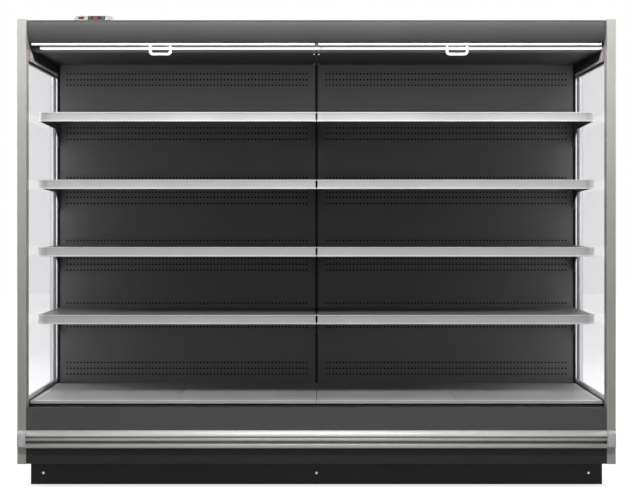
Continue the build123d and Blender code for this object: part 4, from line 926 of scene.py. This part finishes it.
class FRIDGE_OT_air_outlet(bpy.types.Operator):
    """Honeycomb of the cold-air outlet behind the lamps"""

    bl_idname = "fridge.air_outlet"
    bl_label = "Honeycomb air outlet"

    def execute(self, context):
        punch = context.scene.fridge_punch
        low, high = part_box("air_outlet")
        pitch = punch.cell_radius * math.sqrt(3) + punch.cell_wall
        row_pitch = pitch * math.sqrt(3) / 2
        cells = int((high.x - OUTLET_INNER - 2 * OUTLET_BORDER - pitch) / pitch)
        rows = int((high.y - low.y - 2 * OUTLET_BORDER - 2 * punch.cell_radius) / row_pitch) + 1
        y_first = (low.y + high.y - row_pitch * (rows - 1)) / 2
        outlines, starts = [], []
        for sign in SIDES.values():
            left, right = sorted((sign * OUTLET_INNER, sign * high.x))
            outlines.append(((left, low.y), (right, high.y)))
            x_first = (left + right - pitch * (cells - 0.5)) / 2
            starts += [(x_first + (row % 2) * pitch / 2, y_first + row * row_pitch) for row in range(rows)]
        outlet = grown("air_outlet_honeycomb", punch_seed("outlet seed", outlines, starts), punched_tree(), {
            "Hole radius": punch.cell_radius, "Hole sides": 6, "Pitch": pitch, "Holes in a row": cells,
            "Turn": math.radians(30), "Thickness": high.z - low.z, "Material": FINISHES["outlet coat"],
        }, Matrix.Translation((0, 0, low.z)))
        settle(outlet, "panel_grey", "air_outlet")
        return {"FINISHED"}


# ------------------------------------------------------------------ screws, bumper and rear wall
KICK_SCREWS = (-1.195, 0.0, 1.190)
KICK_SCREW_HEIGHT = 0.053
CEILING_SCREWS = (-0.135, 0.255)
CEILING_SCREW_REACH = 0.0105  # to each side of the middle seam


class FRIDGE_OT_screws(bpy.types.Operator):
    """Cross-recess screws of the kick plate and the ceiling, each in a dark ring"""

    bl_idname = "fridge.screws"
    bl_label = "Cover screws"

    def execute(self, context):
        screw = context.scene.fridge_screw
        kick_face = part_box("kick_plate")[0].y
        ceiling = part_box("ceiling_panels")[0].z
        points = [((x, kick_face, KICK_SCREW_HEIGHT), (0, -1, 0)) for x in KICK_SCREWS]
        points += [
            ((sign * CEILING_SCREW_REACH, y, ceiling), (0, 0, -1))
            for sign in SIDES.values() for y in CEILING_SCREWS
        ]
        screws = grown("cover_screw_heads", facing_seed("screw seed", points), screw_tree(), {
            "Head radius": screw.head_radius, "Head height": screw.head_height,
            "Ring radius": screw.ring_radius, "Metal": FINISHES["screw metal"], "Ring": FINISHES["screw ring"],
        })
        settle(screws, "foot_zinc", "cover_screws")
        return {"FINISHED"}


# Profiles as (forward of the front sheets, below the top edge), from the top round to the foot.
RAIL_PROFILE = (
    (0.0000, 0.0000), (0.0040, 0.0006), (0.0085, 0.0030), (0.0125, 0.0065), (0.0160, 0.0105), (0.0186, 0.0150),
    (0.0200, 0.0195), (0.0190, 0.0240), (0.0150, 0.0282), (0.0138, 0.0300), (0.0165, 0.0318), (0.0190, 0.0345),
    (0.0196, 0.0380),
    (0.0184, 0.0420), (0.0150, 0.0455), (0.0100, 0.0475), (0.0092, 0.0500), (0.0102, 0.0528), (0.0155, 0.0548),
    (0.0186, 0.0575), (0.0200, 0.0620), (0.0199, 0.0680), (0.0182, 0.0725), (0.0145, 0.0752), (0.0100, 0.0760),
    (0.0000, 0.0760),
)
CAP_PROFILE = (
    (0.0000, 0.0000), (0.0050, 0.0006), (0.0100, 0.0028), (0.0150, 0.0065), (0.0186, 0.0115), (0.0200, 0.0180),
    (0.0200, 0.0640),
    (0.0192, 0.0685), (0.0165, 0.0715), (0.0120, 0.0725), (0.0000, 0.0725),
)
CAP_CORNER = 0.016


def profile_run(name, profile, stations, wall, top, material):
    """A profile carried along X; each station is (x, share of its depth kept, drop of its top)."""
    depth = max(drop for _, drop in profile)
    vertices = [
        (x, wall - forward * keep, top - lowered - drop * (depth - lowered) / depth)
        for x, keep, lowered in stations for forward, drop in profile
    ]
    piece = mesh_piece(name, vertices, loft_faces(len(stations), len(profile)), material)
    for face in piece.data.polygons:
        face.use_smooth = abs(face.normal.x) < 0.9
    return piece


class FRIDGE_OT_bumper(bpy.types.Operator):
    """Drawn bumper rail with three rounded ribs, and its rounded end caps"""

    bl_idname = "fridge.bumper"
    bl_label = "Bumper"

    def execute(self, context):
        low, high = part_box("bumper_rail")
        rail = profile_run("bumper_rail_ribbed", RAIL_PROFILE, [(low.x, 1, 0), (0, 1, 0), (high.x, 1, 0)],
                           high.y, high.z, FINISHES["bumper aluminium with painted light"])
        settle(rail, "bumper_metal", "bumper_rail")
        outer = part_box("bumper_caps")[1].x
        if outer - high.x <= CAP_CORNER:
            raise RuntimeError("The bumper caps are shorter than their rounded corners")
        for side, sign in SIDES.items():
            stations = [(sign * high.x, 1, 0)]
            for step in range(9):
                turn = math.radians(90 * step / 8)
                across = outer - CAP_CORNER * (1 - math.sin(turn))
                lowered = CAP_CORNER * 0.7 * (1 - math.cos(turn))
                stations.append((sign * across, 0.25 + 0.75 * math.cos(turn), lowered))
            cap = profile_run(f"bumper_cap_{side}", CAP_PROFILE, stations, high.y, high.z, FINISHES["cap plastic"])
            settle(cap, "cap_grey", "bumper_caps")
        return {"FINISHED"}


class FRIDGE_OT_edge_strip(bpy.types.Operator):
    """Thin rubber strip seated along the top edge of the canopy fascia, ahead of the console"""

    bl_idname = "fridge.edge_strip"
    bl_label = "Canopy edge strip"

    def execute(self, context):
        low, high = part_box("canopy_fascia")
        front = low.y + 0.0085  # where the rounded edge has all but reached the flat top
        depth, seated, proud = 0.0040, 0.0005, 0.0025
        strip = blocks("canopy_edge_strip", [
            ((low.x, front, high.z - seated), (high.x, front + depth, high.z + proud)),
        ], FINISHES["edge rubber"], bevel=0.0005)
        settle(strip, "seal_rubber")
        return {"FINISHED"}


class FRIDGE_OT_rear_wall(bpy.types.Operator):
    """Rear wall: insulated core under four riveted cover sheets"""

    bl_idname = "fridge.rear_wall"
    bl_label = "Rear wall"

    def execute(self, context):
        low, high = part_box("rear_wall")
        skin, gap, rivet_height = 0.0015, 0.003, 0.0014
        core_rear = high.y - skin - rivet_height
        core = blocks("rear_wall_core", [((low.x, low.y, low.z), (high.x, core_rear, high.z))],
                      FINISHES["duct coat"])
        settle(core, "foam_core", "rear_wall")
        sheet_count, side_rivets, head_rivets = 4, 12, 4
        rivet_inset, rivet_foot, rivet_head = 0.014, low.z + 0.03, high.z - 0.03
        width = (high.x - low.x) / sheet_count
        sheets, places = [], []
        for sheet in range(sheet_count):
            left, right = low.x + sheet * width + gap, low.x + (sheet + 1) * width - gap
            sheets.append(((left, core_rear, low.z + gap), (right, core_rear + skin, high.z - gap)))
            for step in range(side_rivets):
                z = rivet_foot + step * (rivet_head - rivet_foot) / (side_rivets - 1)
                places += [(left + rivet_inset, z), (right - rivet_inset, z)]
            for step in range(1, head_rivets + 1):
                x = left + step * (right - left) / (head_rivets + 1)
                places += [(x, rivet_foot), (x, rivet_head)]
        covers = blocks("rear_wall_sheets", sheets, FINISHES["rear coat"], bevel=0.0004)
        settle(covers, "foam_core", "rear_wall")
        rivets = [((x, core_rear + skin, z), (0, 1, 0)) for x, z in places]
        heads = grown("rear_wall_rivets", facing_seed("rivet seed", rivets), rivet_tree(), {
            "Rivet radius": context.scene.fridge_screw.rivet_radius, "Rivet height": rivet_height,
            "Material": FINISHES["screw metal"],
        })
        settle(heads, "foot_zinc", "rear_wall")
        return {"FINISHED"}


# ------------------------------------------------------------------ night blinds
STRIP_COLUMNS, ROLL_COLUMNS = 24, 8
ROUND_GAP = 0.0002  # between two rounds of the cloth
ROUND_STEPS = 36


def ruled_sheet(name, ends, columns, rows, material):
    """A thin closed sheet ruled along X, with its UV map in metres of cloth.

    Each row is the (y, z) of one face, the (y, z) of the other and the cloth used up to there.
    """
    across = [ends[0] + (ends[1] - ends[0]) * column / columns for column in range(columns + 1)]
    vertices = [(x, *face) for *pair, _ in rows for face in pair for x in across]
    flat = [(x, used) for *pair, used in rows for _ in pair for x in across]
    span = columns + 1
    last = 2 * span * (len(rows) - 1)
    faces = []
    for here in range(0, last, 2 * span):
        there = here + 2 * span
        for a in range(columns):
            faces.append((here + a, there + a, there + a + 1, here + a + 1))
            faces.append((here + span + a, here + span + a + 1, there + span + a + 1, there + span + a))
        for a in (0, columns):
            faces.append((here + a, here + span + a, there + span + a, there + a))
    for start in (0, last):
        faces += [(a, a + 1, a + 1 + span, a + span) for a in range(start, start + columns)]
    piece = mesh_piece(name, vertices, faces, material)
    uv = piece.data.uv_layers.new(name="cloth")
    for loop in piece.data.loops:
        uv.data[loop.index].uv = flat[loop.vertex_index]
    return piece


def hanging_rows(y, top, bottom, blind):
    """Rows of the cloth between the roll and the pull bar, with its full length when drawn down."""
    half = blind.cloth_thickness / 2
    rows = []
    for row in range(blind.rows + 1):
        share = row / blind.rows
        z = top + (bottom - top) * share
        drop = share * share * (3 - 2 * share)
        rows.append(((y - half, z), (y + half, z), (top - bottom) * share + blind.travel * drop))
    return rows


def wound_rows(centre, inner, outer, thickness):
    """Rows of the cloth wound on its tube in one spiral, with its free end on top of the roll."""
    turns = (outer - inner) / (thickness + ROUND_GAP)
    steps = int(turns * ROUND_STEPS)
    rows, used = [], 0.0
    for step in range(steps + 1):
        share = step / steps
        radius = inner + (outer - inner) * share
        angle = -2 * math.pi * turns * (1 - share) + math.pi
        used += radius * 2 * math.pi * turns / steps
        faces = [
            (centre.y + reach * math.cos(angle), centre.z + reach * math.sin(angle))
            for reach in (radius - thickness / 2, radius + thickness / 2)
        ]
        rows.append((*faces, used))
    return rows


def turned_piece(name, stations, centre, material, sides=32):
    """A piece turned about the X axis: (x, radius) stations from one end to the other, closed."""
    turns = [2 * math.pi * side / sides for side in range(sides)]
    vertices = [
        (x, centre.y + radius * math.cos(turn), centre.z + radius * math.sin(turn))
        for x, radius in stations for turn in turns
    ]
    return mesh_piece(name, vertices, loft_faces(len(stations), sides), material)


class FRIDGE_OT_night_blinds(bpy.types.Operator):
    """Night blinds: the spring tube, the cloth wound on it and the cloth down to the pull bar"""

    bl_idname = "fridge.night_blinds"
    bl_label = "Night blinds"

    def execute(self, context):
        blind = context.scene.fridge_blind
        cloth = FINISHES["blind cloth"]
        tube_radius, pin_radius, chamfer, pin_chamfer, tube_past_cloth = 0.019, 0.005, 0.001, 0.0008, 0.004
        for side in SIDES:
            low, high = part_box(f"blind_curtain_{side}")
            ends = (low.x, high.x)
            y = (low.y + high.y) / 2
            strip = ruled_sheet(f"blind_cloth_{side}", ends, STRIP_COLUMNS,
                                hanging_rows(y, high.z, low.z, blind), cloth)
            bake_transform(strip)
            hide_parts(f"blind_curtain_{side}")
            roller_low, roller_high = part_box(f"blind_roller_{side}")
            centre = (roller_low + roller_high) / 2
            outer = (roller_high.z - roller_low.z) / 2 - blind.cloth_thickness / 2
            stations = []
            for tip, edge, inward in ((roller_low.x, low.x, 1), (roller_high.x, high.x, -1)):
                shoulder = edge - inward * tube_past_cloth
                half = [
                    (tip, pin_radius - pin_chamfer), (tip + inward * chamfer, pin_radius),
                    (shoulder, pin_radius), (shoulder, tube_radius - chamfer),
                    (shoulder + inward * chamfer, tube_radius),
                ]
                stations += half[::inward]  # the right half runs back to its tip
            tube = turned_piece(f"blind_tube_{side}", stations, centre, FINISHES["tube steel"])
            settle(tube, "roller_metal", f"blind_roller_{side}", body=f"blind_roll_{side}")
            rows = wound_rows(centre, tube_radius + blind.cloth_thickness / 2, outer, blind.cloth_thickness)
            roll = ruled_sheet(f"blind_roll_cloth_{side}", ends, ROLL_COLUMNS, rows, cloth)
            settle(roll, "blind_fabric", f"blind_roller_{side}", body=f"blind_roll_{side}")
        return {"FINISHED"}


# ------------------------------------------------------------------ display
SLOPE = Matrix.Rotation(math.radians(45), 4, "X")  # the console's sloping face
DISPLAY_PLACE = Matrix.Translation((-0.957, -0.361, 2.036)) @ SLOPE
STATUS_LAMP_PLACE = Matrix.Translation((-0.984, -0.361, 2.036)) @ SLOPE
SEGMENTS = {"0": "abcdef", "2": "abged"}
LIT_SHARE = 0.82  # of a bar's length


def digit_bars(digit, middle):
    """Lit bars of a digit as (x, y, width, height) about their middles."""
    wide, tall, thick = 0.0046, 0.0044, 0.0009
    spots = {
        "a": (0, tall, wide, thick), "g": (0, 0, wide, thick), "d": (0, -tall, wide, thick),
        "f": (-wide / 2, tall / 2, thick, tall), "b": (wide / 2, tall / 2, thick, tall),
        "e": (-wide / 2, -tall / 2, thick, tall), "c": (wide / 2, -tall / 2, thick, tall),
    }
    bars = []
    for key in SEGMENTS[digit]:
        x, y, width, height = spots[key]
        bars.append((middle + x, y, width * LIT_SHARE, height * LIT_SHARE if height > thick else height))
    return bars


class FRIDGE_OT_display(bpy.types.Operator):
    """Temperature display with lit segments, its window and a status lamp"""

    bl_idname = "fridge.display"
    bl_label = "Display"

    def execute(self, context):
        face, film = 0.0010, 0.0002  # how far the window stands out, and how thick it and the bars are
        window = blocks("display_window", [((-0.0158, -0.0068, face), (0.0158, 0.0068, face + film))],
                        FINISHES["tinted window"], place=DISPLAY_PLACE)
        settle(window, "control_black")
        point = (-0.00275, -0.00435, 0.0009, 0.0009)
        bars = [*digit_bars("2", -0.0075), *digit_bars("0", 0.0015), point]
        digits = blocks("display_segments", [
            ((x - w / 2, y - h / 2, face + film), (x + w / 2, y + h / 2, face + 2 * film)) for x, y, w, h in bars
        ], FINISHES["red segments"], place=DISPLAY_PLACE)
        settle(digits, "control_black")
        form = bmesh.new()
        bmesh.ops.create_uvsphere(form, u_segments=16, v_segments=8, radius=0.0022,
                                  matrix=Matrix.Diagonal((1, 1, 0.5, 1)))
        lamp = form_piece("status_lamp", form, FINISHES["green lamp"],
                          STATUS_LAMP_PLACE @ Matrix.Translation((0, 0, 0.0015)))
        settle(lamp, "control_black")
        return {"FINISHED"}


# ------------------------------------------------------------------ stage
def soft_lamp(name, place, aim, size, watts, spread=180):
    """A broad rectangular lamp aimed at a point."""
    data = bpy.data.lights.new(name, "AREA")
    data.shape = "RECTANGLE"
    data.size, data.size_y = size
    data.energy = watts
    data.spread = math.radians(spread)
    lamp = bpy.data.objects.new(name, data)
    bpy.context.scene.collection.objects.link(lamp)
    lamp.location = place
    lamp.rotation_euler = (Vector(aim) - Vector(place)).to_track_quat("-Z", "Y").to_euler()


def floor_finish():
    """Pale floor that fades to white away from the fridge and keeps its shadow."""
    material, tree, shader = principled("pale floor", {
        "Roughness": 0.8, "Specular IOR Level": 0.1, "Emission Color": (1, 1, 1, 1),
    })
    place = object_place(tree)
    tone = blend_colour(tree, noise(tree, place, 1.2, 4.0), (0.46, 0.46, 0.46, 1), (0.50, 0.50, 0.50, 1))
    away = add(tree, "ShaderNodeVectorMath", {0: place}, operation="LENGTH").outputs["Value"]
    strength = all_of(tree, ramp(tree, away, 1.4, 3.2, 0.78, 1.0), ray_seen(tree))
    feed(tree, shader, {"Base Color": tone, "Emission Strength": strength})
    return material


class FRIDGE_OT_stage(bpy.types.Operator):
    """Pale floor, white surroundings, soft lamps and the camera"""

    bl_idname = "fridge.stage"
    bl_label = "Stage"

    def execute(self, context):
        scene = context.scene
        studio = scene.fridge_studio
        scene.view_settings.view_transform = "Standard"
        world = bpy.data.worlds.new("Surroundings")
        scene.world = world
        world.use_nodes = True
        tree = world.node_tree
        tree.nodes.clear()
        dim = add(tree, "ShaderNodeBackground", {"Color": (1, 1, 1, 1), "Strength": studio.ambient})
        white = add(tree, "ShaderNodeBackground", {"Color": (1, 1, 1, 1), "Strength": 1.0})
        both = add(tree, "ShaderNodeMixShader", {0: ray_seen(tree), 1: dim.outputs[0], 2: white.outputs[0]})
        add(tree, "ShaderNodeOutputWorld", {"Surface": both.outputs[0]})

        reach = 14
        corners = [(-reach, -reach, 0), (reach, -reach, 0), (reach, reach, 0), (-reach, reach, 0)]
        floor = mesh_piece("floor", corners, [(0, 1, 2, 3)], floor_finish())

        soft_lamp("front lamp", (0, -4.6, 1.9), (0, 0, 1.3), (5.0, 2.2), studio.front_light)
        soft_lamp("top lamp", (0, -1.9, 2.9), (0, -0.2, 1.9), (4.8, 0.6), studio.top_light, 130)
        for sign in SIDES.values():
            soft_lamp("side lamp", (sign * 4.2, 1.0, 2.6), (0, 0, 1.0), (2.2, 2.2), 55.0)
        soft_lamp("rear lamp", (0, 4.5, 2.6), (0, 0, 1.0), (4.0, 2.0), 90.0)
        lens_low, lens_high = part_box("lamp_lenses")
        y_lens = (lens_low.y + lens_high.y) / 2
        soft_lamp("canopy lamp", (0, y_lens, lens_low.z - 0.002), (0, y_lens + 0.1, 0.5),
                  (lens_high.x - lens_low.x, 0.03), studio.canopy_light)

        data = bpy.data.cameras.new("camera")
        data.sensor_width = 36.0
        data.lens = studio.lens
        data.shift_x, data.shift_y = studio.shift
        data.clip_end = 200.0
        camera = bpy.data.objects.new("camera", data)
        scene.collection.objects.link(camera)
        camera.location = (0, -studio.distance, studio.camera_height)
        camera.rotation_euler = (math.radians(90), 0, 0)
        scene.camera = camera
        return {"FINISHED"}


# ------------------------------------------------------------------ panel and registration
OPERATORS = (
    FRIDGE_OT_finishes, FRIDGE_OT_back_panels, FRIDGE_OT_air_outlet, FRIDGE_OT_screws,
    FRIDGE_OT_bumper, FRIDGE_OT_edge_strip, FRIDGE_OT_rear_wall, FRIDGE_OT_night_blinds,
    FRIDGE_OT_display, FRIDGE_OT_stage,
)


class FRIDGE_PT_panel(bpy.types.Panel):
    """Lists the fridge's settings and the operators that build its pieces"""

    bl_idname = "FRIDGE_PT_panel"
    bl_label = "Multideck display fridge"
    bl_space_type = "VIEW_3D"
    bl_region_type = "UI"
    bl_category = "Fridge"

    def draw(self, context):
        for name in SETTINGS:
            box = self.layout.box()
            settings = getattr(context.scene, name)
            for key in settings.bl_rna.properties.keys():
                if key not in ("rna_type", "name"):
                    box.prop(settings, key)
        for operator in OPERATORS:
            self.layout.operator(operator.bl_idname)


def register():
    """Register the settings, operators and panel."""
    for name, settings in SETTINGS.items():
        bpy.utils.register_class(settings)
        setattr(bpy.types.Scene, name, PointerProperty(type=settings))
    for operator in OPERATORS:
        bpy.utils.register_class(operator)
    bpy.utils.register_class(FRIDGE_PT_panel)


def unregister():
    """Take everything off again."""
    bpy.utils.unregister_class(FRIDGE_PT_panel)
    for operator in reversed(OPERATORS):
        bpy.utils.unregister_class(operator)
    for name, settings in SETTINGS.items():
        delattr(bpy.types.Scene, name)
        bpy.utils.unregister_class(settings)


def main():
    """Build every piece in order."""
    register()
    for operator in OPERATORS:
        group, name = operator.bl_idname.split(".")
        getattr(getattr(bpy.ops, group), name)()


if __name__ == "__main__":
    main()
